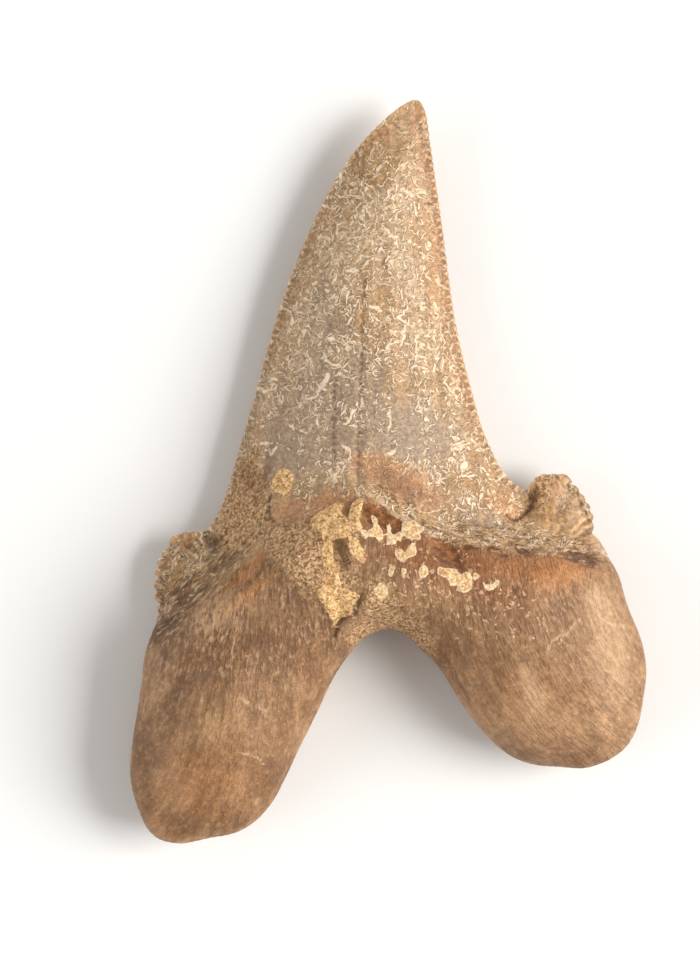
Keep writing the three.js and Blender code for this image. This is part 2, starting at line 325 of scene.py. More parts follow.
@dataclass(frozen=True)
class Cusplet:
    """A small cusp beside the crown.

    Attributes:
        side: +1 on the distal side, -1 on the mesial side.
        foot: The point from which its ridges fan out.
        start: How far from the middle line its coarse serrations start.
        sharpness: How fresh those are, from 0 to 1.
        top: The height below which they lie.
        ray_turn: How many ridges there are to a turn, more or less.
        ray_length: How far a ridge runs before it changes.
        reach: Where the ridges end, away from the foot.
    """

    side: int
    foot: Point
    start: float
    sharpness: float
    top: float = 1.5
    ray_turn: float = 8.0
    ray_length: float = 2.5
    reach: float = 8.0

    def serrated(self, places: np.ndarray) -> np.ndarray:
        """Where its coarse serrations are, from 0 to 1."""
        beside = smooth_step(self.side * places[:, 0], self.start, self.start + 1)
        return self.sharpness * beside * smooth_step(-places[:, 1], -self.top, 0)

    def rays(self, places: np.ndarray) -> np.ndarray:
        """Works out the ridges that fan out from its foot to its rim.

        Args:
            places: Rows of x, y and z.

        Returns:
            Heights from about -0.5 to 0.5, and 0 away from the cusplet.
        """
        x, y = places[:, 0] - self.foot[0], places[:, 1] - self.foot[1]
        away = np.hypot(x, y)
        fan = np.stack([self.ray_turn * np.arctan2(y, x), away / self.ray_length, np.zeros(len(x))], axis=1)
        on_it = smooth_step(self.side * x, -2.0, 0.0) * smooth_step(y, 0.0, 1.5)
        in_reach = smooth_step(away, 1.0, 3.0) * (1 - smooth_step(away, self.reach - 1, self.reach))
        return noise_at(fan, 1.0, 4.9) * on_it * in_reach


CUSPLETS: tuple[Cusplet, ...] = (
    Cusplet(side=-1, foot=(-18.0, -10.0), start=19.0, sharpness=1.0),
    Cusplet(side=1, foot=(17.0, -8.0), start=15.0, sharpness=0.35),
)

# The lower border of the enamel on the inner face, a chevron between the cusplets.
LINGUAL_NECK: tuple[Point, ...] = (
    (-25.5, -17.0), (-24.1, -15.6), (-19.8, -12.1), (-15.6, -8.7), (-11.9, -6.1), (-8.2, -4.2), (-5.0, -2.8),
    (-2.8, -1.9), (-0.6, -3.1), (2.0, -5.0), (5.4, -6.5), (9.6, -7.4), (13.8, -7.9), (18.0, -8.0),
    (21.9, -8.3), (24.0, -9.0),
)
# The same on the outer (labial) face, a low arch.
LABIAL_NECK: tuple[Point, ...] = (
    (-25.5, -15.5), (-21.0, -14.5), (-15.0, -11.5), (-9.0, -9.0), (-3.0, -7.6), (3.0, -7.8), (9.0, -9.2),
    (15.0, -10.2), (20.0, -9.6), (24.0, -8.4),
)

PATCHES: dict[Ground, dict[str, Patch]] = {
    Ground.GRIT: {
        "worn enamel beside the mesial edge": Patch(-0.08, 0.4, (
            (-18.6, -6.9), (-17.4, -4.4), (-16.2, -0.6), (-15.0, 2.2), (-13.7, 2.6), (-13.2, 0.2),
            (-12.3, -2.5), (-12.3, -4.7), (-11.4, -5.6), (-13.2, -6.6), (-16.0, -8.2)
        )),
        "sandy rock below the mesial crown": Patch(0.1, 0.9, (
            (-13.4, -6.2), (-11.2, -5.4), (-8.6, -4.9), (-6.5, -4.6), (-3.4, -6.4), (-3.6, -9.0),
            (-3.0, -10.9), (-4.6, -12.0), (-6.6, -13.0), (-8.2, -12.4), (-9.6, -11.2), (-10.9, -9.9),
            (-12.2, -8.6)
        )),
        "granular side of the distal cusplet": Patch(0.0, 0.3, (
            (15.0, -1.6), (15.9, -0.7), (16.9, -1.0), (16.8, -2.6), (16.3, -4.0), (15.3, -3.6)
        )),
        "sandy rock over the arch": Patch(0.05, 0.6, (
            (-3.0, -11.4), (-0.6, -11.2), (0.2, -12.6), (1.6, -13.6), (3.4, -15.0), (4.6, -17.4),
            (4.2, -19.6), (1.6, -18.0), (-1.4, -18.0), (-3.6, -19.4), (-4.6, -18.2), (-3.4, -15.4),
            (-2.4, -13.2)
        )),
    },
    Ground.MATRIX: {
        "bright sandy lump at the neck": Patch(0.3, 0.3, (
            (-8.0, -5.6), (-7.5, -4.6), (-6.7, -4.0), (-5.5, -3.3), (-4.6, -3.3), (-4.8, -4.4), (-4.2, -4.7),
            (-4.0, -3.9), (-3.6, -3.1), (-2.7, -2.7), (-2.7, -3.7), (-3.1, -4.8), (-2.7, -5.8), (-3.6, -6.3),
            (-4.8, -6.9), (-6.4, -6.8)
        )),
        "sandy tongue towards the kite": Patch(0.12, 0.3, (
            (-6.4, -7.0), (-5.7, -7.3), (-5.6, -9.2), (-5.0, -10.6), (-5.8, -10.9), (-6.4, -9.8),
            (-6.9, -8.4)
        )),
        "sandy crumb beside the kite": Patch(0.12, 0.3, (
            (-4.2, -6.9), (-3.4, -6.6), (-2.8, -7.6), (-2.4, -9.2), (-3.1, -9.0), (-3.9, -8.2)
        )),
        "sandy ring on the mesial crown base": Patch(0.14, 0.25, (
            (-12.3, -1.5), (-11.6, -0.2), (-10.7, 0.4), (-9.8, -0.5), (-10.1, -1.5), (-10.6, -2.4),
            (-11.6, -2.3)
        )),
        "sandy kite beside the break": Patch(0.22, 0.2, (
            (-6.6, -10.6), (-5.2, -10.6), (-4.8, -11.6), (-3.8, -12.1), (-2.7, -12.6), (-3.3, -13.7),
            (-4.0, -14.6), (-5.0, -15.0), (-5.4, -16.1), (-6.0, -14.9), (-6.8, -13.4), (-7.4, -12.2),
            (-6.9, -11.7)
        )),
    },
    Ground.CRUST: {
        "crust finger": Patch(0.12, 0.15, ((-2.9, -6.0), (-2.4, -5.9), (-2.1, -6.6), (-2.5, -6.9))),
        "crust below the apex": Patch(0.12, 0.15, (
            (-1.7, -4.3), (-1.3, -4.4), (-0.9, -5.5), (-0.5, -6.7), (-1.1, -7.1), (-1.5, -6.6), (-2.1, -6.6),
            (-2.1, -5.9), (-1.6, -5.7)
        )),
        "crust crumb, upper": Patch(0.1, 0.15, ((-0.2, -5.2), (0.1, -5.0), (0.3, -5.9), (-0.1, -6.1))),
        "crust crumb, lower": Patch(0.1, 0.15, (
            (-0.3, -6.3), (0.4, -6.2), (0.8, -6.8), (0.8, -7.6), (0.3, -7.1), (-0.2, -7.6)
        )),
        "crust hook": Patch(0.1, 0.15, ((0.8, -6.1), (1.3, -6.0), (1.4, -6.4), (1.1, -7.2), (0.9, -6.6))),
        "crust right of the apex": Patch(0.18, 0.2, (
            (1.4, -4.8), (2.0, -5.2), (2.6, -5.0), (3.1, -5.6), (3.7, -5.9), (3.2, -6.4), (3.3, -6.9),
            (2.2, -6.9), (1.4, -6.0)
        )),
        "crust chain": Patch(0.1, 0.15, (
            (0.5, -8.0), (1.2, -7.8), (1.6, -8.2), (2.2, -7.4), (2.6, -7.2), (2.8, -8.4), (1.9, -8.8),
            (1.4, -9.1), (0.7, -8.7)
        )),
        "crust island": Patch(0.14, 0.2, (
            (4.8, -9.6), (5.6, -9.9), (6.7, -9.8), (7.2, -10.4), (8.0, -10.2), (8.4, -10.7), (8.4, -11.7),
            (7.7, -12.3), (7.0, -12.0), (7.0, -11.4), (6.3, -11.6), (5.8, -10.8), (5.0, -10.5)
        )),
        "crust islet, near": Patch(0.1, 0.15, ((8.4, -10.6), (8.8, -10.3), (9.2, -10.7), (8.7, -11.1))),
        "crust islet, far": Patch(0.1, 0.15, (
            (9.4, -11.2), (10.2, -11.5), (11.3, -11.0), (10.7, -11.9), (10.0, -12.1)
        )),
        "crust bead, left": Patch(0.1, 0.15, ((-0.2, -10.5), (0.1, -9.7), (0.6, -9.5), (0.3, -10.7))),
        "crust bead, right": Patch(0.1, 0.15, (
            (3.1, -9.8), (3.6, -9.5), (4.0, -10.1), (3.6, -10.8), (3.0, -10.6)
        )),
        "crust bead, middle": Patch(0.08, 0.15, ((1.3, -9.8), (1.8, -9.9), (1.8, -10.4), (1.3, -10.3))),
        "crust patch over the arch": Patch(0.08, 0.2, (
            (-1.6, -11.9), (-0.8, -11.3), (-0.1, -12.0), (-0.4, -12.8), (-1.2, -12.6)
        )),
    },
    Ground.GLAZE: {
        "glazed hollow under the apex": Patch(-0.2, 0.5, (
            (-3.0, -2.9), (-1.9, -3.2), (-0.4, -3.5), (0.9, -4.6), (2.2, -5.4), (3.4, -6.4), (2.6, -6.8),
            (1.2, -6.4), (0.2, -6.3), (-1.0, -5.4), (-2.1, -5.2), (-2.6, -4.1)
        )),
        "glazed dish": Patch(-0.4, 0.7, (
            (4.4, -6.6), (6.1, -6.9), (7.2, -8.2), (7.6, -9.5), (7.1, -10.2), (6.0, -9.6), (4.9, -8.9),
            (4.2, -8.0)
        )),
        "glazed nick": Patch(-0.12, 0.3, ((7.5, -7.2), (9.2, -7.8), (8.4, -8.3), (7.6, -8.0))),
        "glazed strip, inner": Patch(-0.14, 0.3, (
            (9.9, -7.7), (10.8, -7.5), (11.9, -8.1), (12.3, -8.7), (11.2, -8.6), (10.2, -8.4)
        )),
        "glazed strip, middle": Patch(-0.14, 0.3, (
            (12.6, -7.3), (13.7, -7.4), (14.8, -8.2), (14.4, -8.7), (13.4, -8.3)
        )),
        "glazed strip, outer": Patch(-0.14, 0.3, (
            (17.4, -8.3), (19.3, -8.0), (21.0, -8.6), (22.0, -9.9), (20.8, -9.7), (18.8, -9.2)
        )),
    },
    Ground.WORN: {
        "worn facet at the tip": Patch(-0.1, 0.3, (
            (-1.4, 35.4), (0.8, 37.2), (2.6, 39.2), (3.4, 37.8), (2.6, 36.0), (1.6, 34.2), (0.4, 34.0),
            (-0.9, 34.6)
        )),
        "worn distal cusplet": Patch(0.0, 0.3, (
            (14.2, -2.6), (15.2, -0.6), (17.0, 0.4), (19.0, 0.2), (20.8, -1.6), (22.0, -4.0), (22.6, -6.8),
            (20.0, -6.8), (16.2, -5.0)
        )),
        "unworn enamel plate": Patch(0.08, 0.25, (
            (-12.2, -2.6), (-12.3, -4.7), (-11.3, -5.3), (-10.4, -5.1), (-9.6, -4.8), (-9.2, -3.4),
            (-10.0, -2.6), (-11.2, -2.4)
        )),
    },
}

STAINS: dict[Tint, dict[str, Stain]] = {
    Tint.STRIAE: {
        "below the mesial shoulder": Stain((-16.6, -16.4), (7.6, 5.0), 30, 1.0),
        "beside the kite": Stain((-7.6, -14.6), (2.6, 3.0), 0, 0.7),
        "below the distal shoulder": Stain((13.0, -13.4), (8.0, 3.4), -8, 0.5),
        "below the apex": Stain((3.0, -10.6), (3.6, 2.4), -8, 0.25),
    },
    Tint.RED: {
        "root below the enamel": Stain((2.4, -6.4), (5.6, 1.9), -34, 1.0),
        "root around the crusts": Stain((4.4, -9.0), (5.6, 2.2), -16, 0.7),
        "band below the distal neck": Stain((13.0, -9.0), (7.0, 1.0), -5, 0.3),
        "distal shoulder": Stain((11.6, -12.6), (7.0, 3.2), -12, 0.4),
        "base of the distal cusplet": Stain((17.2, -6.2), (1.6, 0.6), -10, 0.8),
    },
    Tint.GREY: {
        "distal neck": Stain((10.4, -5.2), (5.0, 1.3), -18, 0.5),
        "lower crown": Stain((-4.2, 6.0), (5.6, 7.0), 0, 1.0),
        "lower crown, distal": Stain((3.6, 3.6), (4.4, 3.6), 0, 0.9),
        "crown above the apex": Stain((-9.0, 2.0), (3.2, 3.2), 0, 0.8),
        "middle of the crown": Stain((-5.6, 15.0), (3.0, 5.0), 0, 0.5),
        "mesial flank": Stain((-7.4, 17.0), (2.4, 9.0), -16, 0.3),
        "mesial flank, lower": Stain((-12.2, 4.4), (2.0, 5.0), -16, 0.35),
    },
    Tint.ORANGE: {
        "crown base": Stain((1.4, -1.2), (5.2, 1.9), -30, 0.9),
        "crown base, mesial": Stain((-7.2, -3.4), (3.4, 1.2), 18, 1.0),
        "brown enamel plate": Stain((-10.8, -3.8), (1.6, 1.6), 0, 0.45),
        "above the apex": Stain((-0.4, 0.4), (3.0, 0.9), -20, 0.7),
        "below the distal edge": Stain((11.6, -3.2), (2.6, 1.1), -38, 0.8),
        "distal shoulder": Stain((12.6, -9.6), (4.8, 1.1), -3, 1.0),
        "distal shoulder, outer": Stain((18.6, -9.9), (3.2, 1.0), -8, 0.9),
        "distal shoulder, lower": Stain((16.4, -11.6), (4.0, 1.2), -6, 0.5),
        "tip": Stain((3.0, 36.0), (2.0, 4.4), 4, 0.5),
        "warm distal flank": Stain((4.6, 21.0), (14.0, 4.6), -80, 0.3),
        "distal edge": Stain((6.9, 21.0), (13.0, 1.3), -81, 0.7),
        "distal edge, lower": Stain((9.6, 6.6), (5.0, 0.9), -72, 0.5),
        "distal cusplet": Stain((18.2, -2.4), (2.2, 1.4), -40, 0.5),
        "mesial cusplet": Stain((-21.9, -7.6), (1.2, 0.9), 20, 0.8),
        "tan distal cusplet": Stain((17.4, -4.2), (3.6, 3.0), -20, 0.25),
        "tan foot of the distal lobe": Stain((14.6, -23.6), (8.0, 5.0), -10, 0.4),
        "tan foot of the mesial lobe": Stain((-19.0, -32.0), (6.0, 5.0), 10, 0.35),
    },
    Tint.RUST: {
        "streak on the mesial shoulder": Stain((-14.9, -10.3), (2.6, 0.55), 40, 1.2),
        "band on the mesial shoulder": Stain((-14.6, -12.6), (3.6, 0.9), 41, 0.55),
    },
    Tint.UMBER: {
        "mesial crown base": Stain((-14.6, -0.6), (1.1, 2.4), 14, 0.58),
        "root between the crusts": Stain((1.6, -7.2), (3.2, 1.8), -30, 0.3),
        # Dark dirt together with painted shade on the distal cusplet's inner side, which faces away from the
        # light.
        "inner side of the distal cusplet": Stain((15.5, -2.4), (0.6, 1.7), -8, 0.9),
        # Painted shade in the gap between the crown's edge and the mesial cusplet, and in the valley beside
        # that cusplet.
        "groove before the mesial cusplet": Stain((-18.4, -7.4), (1.0, 1.1), 0, 0.9),
        "valley beside the mesial cusplet": Stain((-18.0, -10.1), (4.6, 1.0), 40, 0.75),
        "foot of the mesial cusplet": Stain((-21.6, -12.3), (1.4, 1.6), 30, 0.7),
        "streak along the mesial edge": Stain((-12.6, 0.6), (0.5, 4.6), -14, 0.5),
        "mesial shoulder, outer": Stain((-23.4, -16.0), (2.6, 1.1), 54, 0.85),
        "purple patch": Stain((-13.6, -17.2), (2.2, 1.4), 0, 0.8),
        "purple patch, upper": Stain((-13.2, -14.9), (2.4, 0.9), 10, 0.5),
        "dents by the sandy rock": Stain((-5.0, -7.2), (0.6, 0.9), 20, 1.1),
        "hollow between the sandy tongues": Stain((-4.7, -8.8), (0.9, 1.8), 10, 0.75),
        # Painted shade where the root drops away into the arch.
        "rim of the arch": Stain((3.0, -15.0), (4.6, 1.6), -30, 0.4),
        "root above the distal lobe": Stain((8.6, -14.2), (4.4, 2.0), -20, 0.36),
        "end of the distal shoulder": Stain((20.6, -8.9), (1.8, 0.7), -20, 0.7),
        "smear on the mesial lobe": Stain((-21.5, -25.8), (1.5, 0.6), 0, 0.4),
        "orange crown base": Stain((1.4, -1.5), (5.0, 1.4), -32, 0.62),
    },
    Tint.PALE: {
        "scraped neck": Stain((10.4, -6.4), (3.6, 0.7), -8, 0.7),
        "distal cusplet base": Stain((17.6, -5.4), (2.6, 0.9), -8, 0.5),
        "smear on the distal lobe": Stain((14.6, -22.4), (1.1, 3.0), 24, 0.5),
        "corner of the distal lobe": Stain((21.0, -12.6), (1.2, 2.0), 30, 0.3),
        "tan distal lobe": Stain((17.0, -21.0), (8.0, 9.0), -30, 0.2),
        "tan distal margin": Stain((23.0, -18.0), (2.6, 8.0), 8, 0.6),
        "foot of the distal lobe": Stain((14.6, -26.0), (7.0, 3.0), -8, 0.3),
        "tan mesial shoulder": Stain((-17.0, -14.2), (5.0, 1.6), 34, 0.6),
        "tan inner side of the mesial lobe": Stain((-9.4, -20.4), (2.0, 4.6), -24, 0.12),
        "outer side of the mesial lobe": Stain((-24.6, -22.0), (1.6, 6.0), 0, 0.35),
    },
    Tint.OCHRE: {
        "mesial cusplet": Stain((-21.4, -8.8), (2.4, 3.4), 10, 1.0),
        "mesial valley": Stain((-16.4, -8.2), (3.6, 2.4), 41, 0.9),
        "mesial crown base": Stain((-15.2, -3.0), (1.8, 3.4), -18, 0.5),
        "left of the apex": Stain((-8.6, -1.6), (2.4, 2.2), 0, 0.5),
        "arch": Stain((0.6, -14.0), (5.0, 2.6), -14, 0.4),
        "mesial lobe": Stain((-17.4, -26.0), (6.4, 10.0), 0, 0.16),
    },
    Tint.VEIL: {
        "tangle": Stain((1.8, 21.0), (1.6, 4.0), 10, 1.0),
        "tangle, lower": Stain((3.4, 13.6), (2.2, 4.2), 14, 0.9),
        "tangle, upper": Stain((0.0, 28.0), (3.4, 2.0), 30, 0.7),
        "mesial flank": Stain((-8.0, 14.5), (2.2, 4.6), -14, 0.8),
        "mesial flank, upper": Stain((-5.0, 22.0), (2.2, 2.4), -14, 0.7),
        "distal edge": Stain((7.6, 5.0), (1.6, 4.4), 14, 0.5),
        "distal corner": Stain((10.2, -1.0), (2.0, 2.0), 40, 0.4),
        "distal cusplet": Stain((18.8, -2.6), (2.2, 2.8), 30, 0.8),
        # Partly milky haze and partly painted light on the upper mesial flank, which faces away from the key
        # lamp.
        "upper flank": Stain((-2.0, 25.6), (3.0, 5.4), -24, 0.9),
        "tip": Stain((2.0, 35.8), (2.2, 3.2), 10, 0.7),
        "lower crown": Stain((-9.4, 5.4), (2.2, 3.0), 0, 0.4),
        "mesial edge, lower": Stain((-14.4, 4.0), (1.1, 8.0), -15, 0.9),
        "mesial cusplet": Stain((-21.8, -9.0), (2.2, 3.4), 10, 0.35),
        "distal neck": Stain((10.0, -5.2), (5.0, 1.4), -16, 0.2),
    },
    Tint.FIBRE: {
        "in the mesial valley": Stain((-18.4, -10.0), (6.4, 2.4), 41, 1.0),
        "on the outer mesial shoulder": Stain((-23.0, -15.6), (3.6, 1.8), 52, 0.9),
        "along the distal neck": Stain((12.0, -6.8), (9.0, 1.5), -8, 1.0),
        "along the apex": Stain((1.0, -3.0), (4.4, 1.0), -36, 0.8),
        "at the end of the distal neck": Stain((20.4, -8.2), (2.6, 1.4), -20, 0.8),
    },
    Tint.SPECKLE: {
        "below the apex": Stain((3.0, -11.4), (5.6, 3.0), -10, 0.9),
        "on the distal shoulder": Stain((10.6, -14.0), (5.6, 2.8), -10, 0.5),
        "over the arch": Stain((0.6, -14.6), (3.4, 2.4), -10, 0.8),
    },
}

GROOVES: dict[str, Groove] = {
    "long crack": Groove(0.14, 0.34, Tone.FAINT, (
        (-2.5, 20.4), (-2.7, 15.7), (-2.9, 9.5), (-3.1, 4.3), (-3.1, -0.6)
    )),
    "fine crack": Groove(0.06, 0.3, Tone.FAINT, ((-5.6, 9.6), (-5.7, 4.3), (-5.6, 0.2))),
    # Its dark line is painted shadow beside the sandy kite's lower edge.
    "crack along the break": Groove(0.16, 0.22, Tone.DARK, (
        (-2.7, -12.6), (-3.4, -14.2), (-4.2, -14.9), (-5.0, -15.3), (-5.4, -16.1), (-5.6, -17.2)
    )),
    # Its dark line is painted shadow in the slit.
    "slit before the distal cusplet": Groove(0.35, 0.3, Tone.DARK, (
        (14.4, -1.9), (14.9, -2.6), (14.9, -3.4), (14.4, -4.1), (13.3, -4.8), (12.5, -4.6)
    )),
    "valley behind the mesial cusplet": Groove(0.35, 0.9, None, (
        (-14.3, -7.0), (-17.7, -9.9), (-20.2, -12.8), (-22.3, -15.0)
    )),
    "edge of a flake on the distal lobe": Groove(-0.08, 0.16, Tone.PALE, (
        (16.2, -18.6), (16.6, -17.5), (17.2, -17.0), (18.3, -16.6), (19.0, -15.6), (19.6, -15.1)
    )),
    "edge of a flake by the distal margin": Groove(-0.05, 0.16, Tone.PALE, (
        (20.6, -13.0), (21.6, -14.6), (22.8, -15.6), (24.4, -16.0)
    )),
    "flake on the mesial lobe": Groove(-0.06, 0.3, Tone.PALE, (
        (-14.9, -23.3), (-14.3, -23.9), (-13.5, -24.1), (-12.7, -24.6)
    )),
    "lower flake on the mesial lobe": Groove(-0.04, 0.2, Tone.PALE, (
        (-15.2, -29.0), (-14.2, -29.1), (-13.4, -29.6), (-13.0, -30.2)
    )),
    "pale border of the enamel": Groove(-0.06, 0.22, Tone.PALE, (
        (-4.2, -0.6), (-3.4, -1.7), (-2.6, -2.1), (-1.4, -2.6), (-0.5, -3.2), (0.3, -4.1), (1.5, -4.8),
        (2.8, -5.2)
    )),
    # Its dark line is painted shadow beside the plate's raised edge.
    "edge of the enamel plate": Groove(0.08, 0.2, Tone.DARK, (
        (-12.3, -2.4), (-12.35, -3.2), (-12.35, -4.0), (-12.3, -4.8), (-11.7, -5.2)
    )),
    "scratch above the apex": Groove(0.03, 0.15, Tone.PALE, ((-4.6, 1.0), (-3.8, 0.0), (-3.2, -1.0))),
}


# ------------------------------------------------------------------ the form


@dataclass
class Rim:
    """The closed line where the two faces of the tooth meet, seen from above.

    Attributes:
        path: Its points, with the first one repeated at the end.
        crest: For each point, 1 on a serration's crest and 0 in a notch.
        lengths: How far along the rim each point lies.
    """

    path: np.ndarray
    crest: np.ndarray
    lengths: np.ndarray = field(init=False)

    def __post_init__(self) -> None:
        """Works out how far along the rim each point lies."""
        steps = np.linalg.norm(np.diff(self.path, axis=0), axis=1)
        self.lengths = np.concatenate([[0.0], np.cumsum(steps)])

    @classmethod
    def around(cls, edges: Iterable[bmesh.types.BMEdge]) -> "Rim":
        """Walks once around a closed loop of edges.

        Args:
            edges: The rim's edges, in any order.

        Returns:
            The rim.
        """
        beside: dict[bmesh.types.BMVert, list[bmesh.types.BMVert]] = {}
        for a, b in (edge.verts for edge in edges):
            beside.setdefault(a, []).append(b)
            beside.setdefault(b, []).append(a)
        first = next(iter(beside))
        loop = [first, beside[first][0]]
        while loop[-1] is not first:
            a, b = beside[loop[-1]]
            loop.append(b if a is loop[-2] else a)
        path = np.array([vert.co[:2] for vert in loop]) / MM
        area = np.sum(path[:-1, 0] * path[1:, 1] - path[1:, 0] * path[:-1, 1])
        path = path if area > 0 else path[::-1]
        return cls(path, cls.crests(path))

    @staticmethod
    def crests(path: np.ndarray, full_height: float = 0.06) -> np.ndarray:
        """Finds how far each rim point stands out of the rim's own running average.

        Args:
            path: The closed rim, counter-clockwise.
            full_height: How far out a point is nearly a full crest.

        Returns:
            Shares from 0 in a deep notch to 1 on a high crest.
        """
        loop = path[:-1]
        weights = {-2: 0.5, -1: 1.0, 0: 1.0, 1: 1.0, 2: 0.5}
        total = sum(weight * np.roll(loop, shift, axis=0) for shift, weight in weights.items())
        average = total / sum(weights.values())
        tangent = np.roll(average, -2, axis=0) - np.roll(average, 2, axis=0)
        outward = np.stack([tangent[:, 1], -tangent[:, 0]], axis=1)
        outward /= np.linalg.norm(outward, axis=1, keepdims=True)
        proud = np.sum((loop - average) * outward, axis=1)
        share = 0.5 + 0.5 * np.tanh(proud / full_height)
        return np.append(share, share[0])


@dataclass
class Tooth:
    """The visible tooth: a finely divided copy of the CAD solid with its relief and its markings.

    Attributes:
        node: The CAD node that it stands for.
        slot: The record's material slot; not used.
        levels: How often each of the CAD solid's faces is divided.
        groove_depth: How deep the grooves between serrations are.
        groove_reach: How far they run in from the rim.
        worn_tip: The heights between which the serrations fade out towards the tip.
        striation_depth: How deep the root's striations are.
        striations: Where they run.
        ridge_height: How high the ridges on the cusplets are.
        crown_lumps: The enamel's slow and fine unevenness.
        crown_ridges: The faint ridges that run up the crown.
        edge_grain: The coarse grain beside the cutting edges.
        root_lumps: The root's unevenness, from slow to fine.
        sand_lumps: The grain of the sandy rock.
        wall_drift: How far the borders of the patches stray where the surface is steep.
        wide_weather: The height of the weathering's wide lumps.
        narrow_weather: The height of its narrow lumps.
        narrowing: The narrow lumps' size as a share of the wide ones' size.
        ray_shade_contrast: How strongly the cusplets' ridges show in the colours, as painted light on them
            and painted shade between them.
        far: The distance that marks the outer face as far from all patches and grooves.
        fan_top: The height at which the lines that run down the crown would meet.
        fan_foot: The height at which a line is as far from the middle line as its own number says.
        lobe_top: The height below which the root's lines bend out along its lobes.
        lobe_middle: Where the one line that stays straight lies, measured from the middle line.
        lobe_bend: How strongly the others bend.
    """

    node: str = "tooth"
    slot: str = "fossil_tooth"
    levels: int = 2
    groove_depth: float = 0.09
    groove_reach: float = 0.9
    worn_tip: Span = (33.0, 38.0)
    striation_depth: float = 0.12
    striations: Lumps = Lumps(1.0, (0.8, 2.4, 2.5), 1.9)
    ridge_height: float = 0.2
    crown_lumps: tuple[Lumps, ...] = (Lumps(0.06, (3.0, 4.5, 3.0), 7.1), Lumps(0.035, 0.8, 1.7))
    crown_ridges: Lumps = Lumps(0.03, (0.9, 9.0, 3.0), 2.7)
    edge_grain: Lumps = Lumps(0.1, 0.6, 5.3)
    root_lumps: tuple[Lumps, ...] = (
        Lumps(0.28, (4.0, 6.0, 3.0), 3.3),
        Lumps(0.14, (2.2, 3.0, 2.2), 5.9),
        Lumps(0.084, (1.1, 1.5, 1.1), 8.8),
    )
    sand_lumps: tuple[Lumps, ...] = (Lumps(0.07, 0.5, 6.1), Lumps(0.09, 1.1, 4.4))
    wall_drift: Lumps = Lumps(6.0, 2.6, 9.3)
    wide_weather: float = 0.42
    narrow_weather: float = 0.2
    narrowing: float = 0.45
    ray_shade_contrast: float = 1.6
    far: float = 3.0
    fan_top: float = 60.0
    fan_foot: float = -10.0
    lobe_top: float = -7.0
    lobe_middle: float = -10.0
    lobe_bend: float = 0.0008
    places: np.ndarray = field(init=False)
    normals: np.ndarray = field(init=False)
    lingual: np.ndarray = field(init=False)
    marks: dict[str, np.ndarray] = field(init=False, default_factory=dict)

    def build(self) -> bpy.types.Object:
        """Makes the piece, with its relief in the mesh and its markings in vertex attributes.

        Returns:
            The new object, at the origin and with no material yet.
        """
        mesh, rim = self.divided_copy()
        mesh.name = "fossil_tooth"
        piece = bpy.data.objects.new("fossil_tooth", mesh)
        bpy.context.collection.objects.link(piece)
        self.read(mesh)
        self.mark(rim)
        self.mark_inner_face()
        moved = self.places + self.normals * self.relief()[:, None]
        moved[:, 2] = np.maximum(moved[:, 2], 0)
        mesh.vertices.foreach_set("co", (moved * MM).ravel())
        mesh.update()
        for name, values in self.marks.items():
            attribute = mesh.attributes.new(name, "FLOAT", "POINT")
            attribute.data.foreach_set("value", values.astype(np.float32))
        return piece

    def divided_copy(self) -> tuple[bpy.types.Mesh, Rim]:
        """Copies the CAD node's mesh, joins its loose triangles and divides them finely.

        Returns:
            The new mesh, and the rim between its two faces.
        """
        form = bmesh.new()
        form.from_mesh(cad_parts[self.node].data)
        bmesh.ops.remove_doubles(form, verts=form.verts, dist=0.001 * MM)
        form.normal_update()
        for face in form.faces:
            face.smooth = True
        rim = Rim.around(self.sharpened_rim(form))
        coarse = bpy.data.meshes.new("coarse_tooth")
        form.to_mesh(coarse)
        form.free()
        holder = bpy.data.objects.new("coarse_tooth", coarse)
        bpy.context.collection.objects.link(holder)
        divide = holder.modifiers.new("divide", "SUBSURF")
        divide.levels = divide.render_levels = self.levels
        depsgraph = bpy.context.evaluated_depsgraph_get()
        mesh = bpy.data.meshes.new_from_object(holder.evaluated_get(depsgraph), depsgraph=depsgraph)
        bpy.data.objects.remove(holder)
        bpy.data.meshes.remove(coarse)
        return mesh, rim

    @staticmethod
    def sharpened_rim(form: bmesh.types.BMesh) -> list[bmesh.types.BMEdge]:
        """Finds the rim, and keeps it sharp along the crown and the cusplets. Along the root it gets round.

        Args:
            form: The tooth, not yet divided.

        Returns:
            The edges where its two faces meet.
        """
        crease = form.edges.layers.float.new("crease_edge")
        rim_edges = [e for e in form.edges if e.link_faces[0].normal.z * e.link_faces[1].normal.z < 0]
        middles = np.array([(e.verts[0].co + e.verts[1].co)[:2] for e in rim_edges]) / (2 * MM)
        neck = nearest_on_path(middles, smooth_curve(LINGUAL_NECK))
        for edge, above in zip(rim_edges, neck.distance * neck.side):
            if above > 0:
                edge[crease] = 1.0
                edge.smooth = False
        return rim_edges

    def read(self, mesh: bpy.types.Mesh) -> None:
        """Reads the places and normals of a mesh's vertices.

        Args:
            mesh: The mesh.
        """
        count = len(mesh.vertices)
        places, normals = np.empty(count * 3), np.empty(count * 3)
        mesh.vertices.foreach_get("co", places)
        mesh.vertices.foreach_get("normal", normals)
        self.places = places.reshape(-1, 3) / MM
        self.normals = normals.reshape(-1, 3)
        self.lingual = self.normals[:, 2] > 0

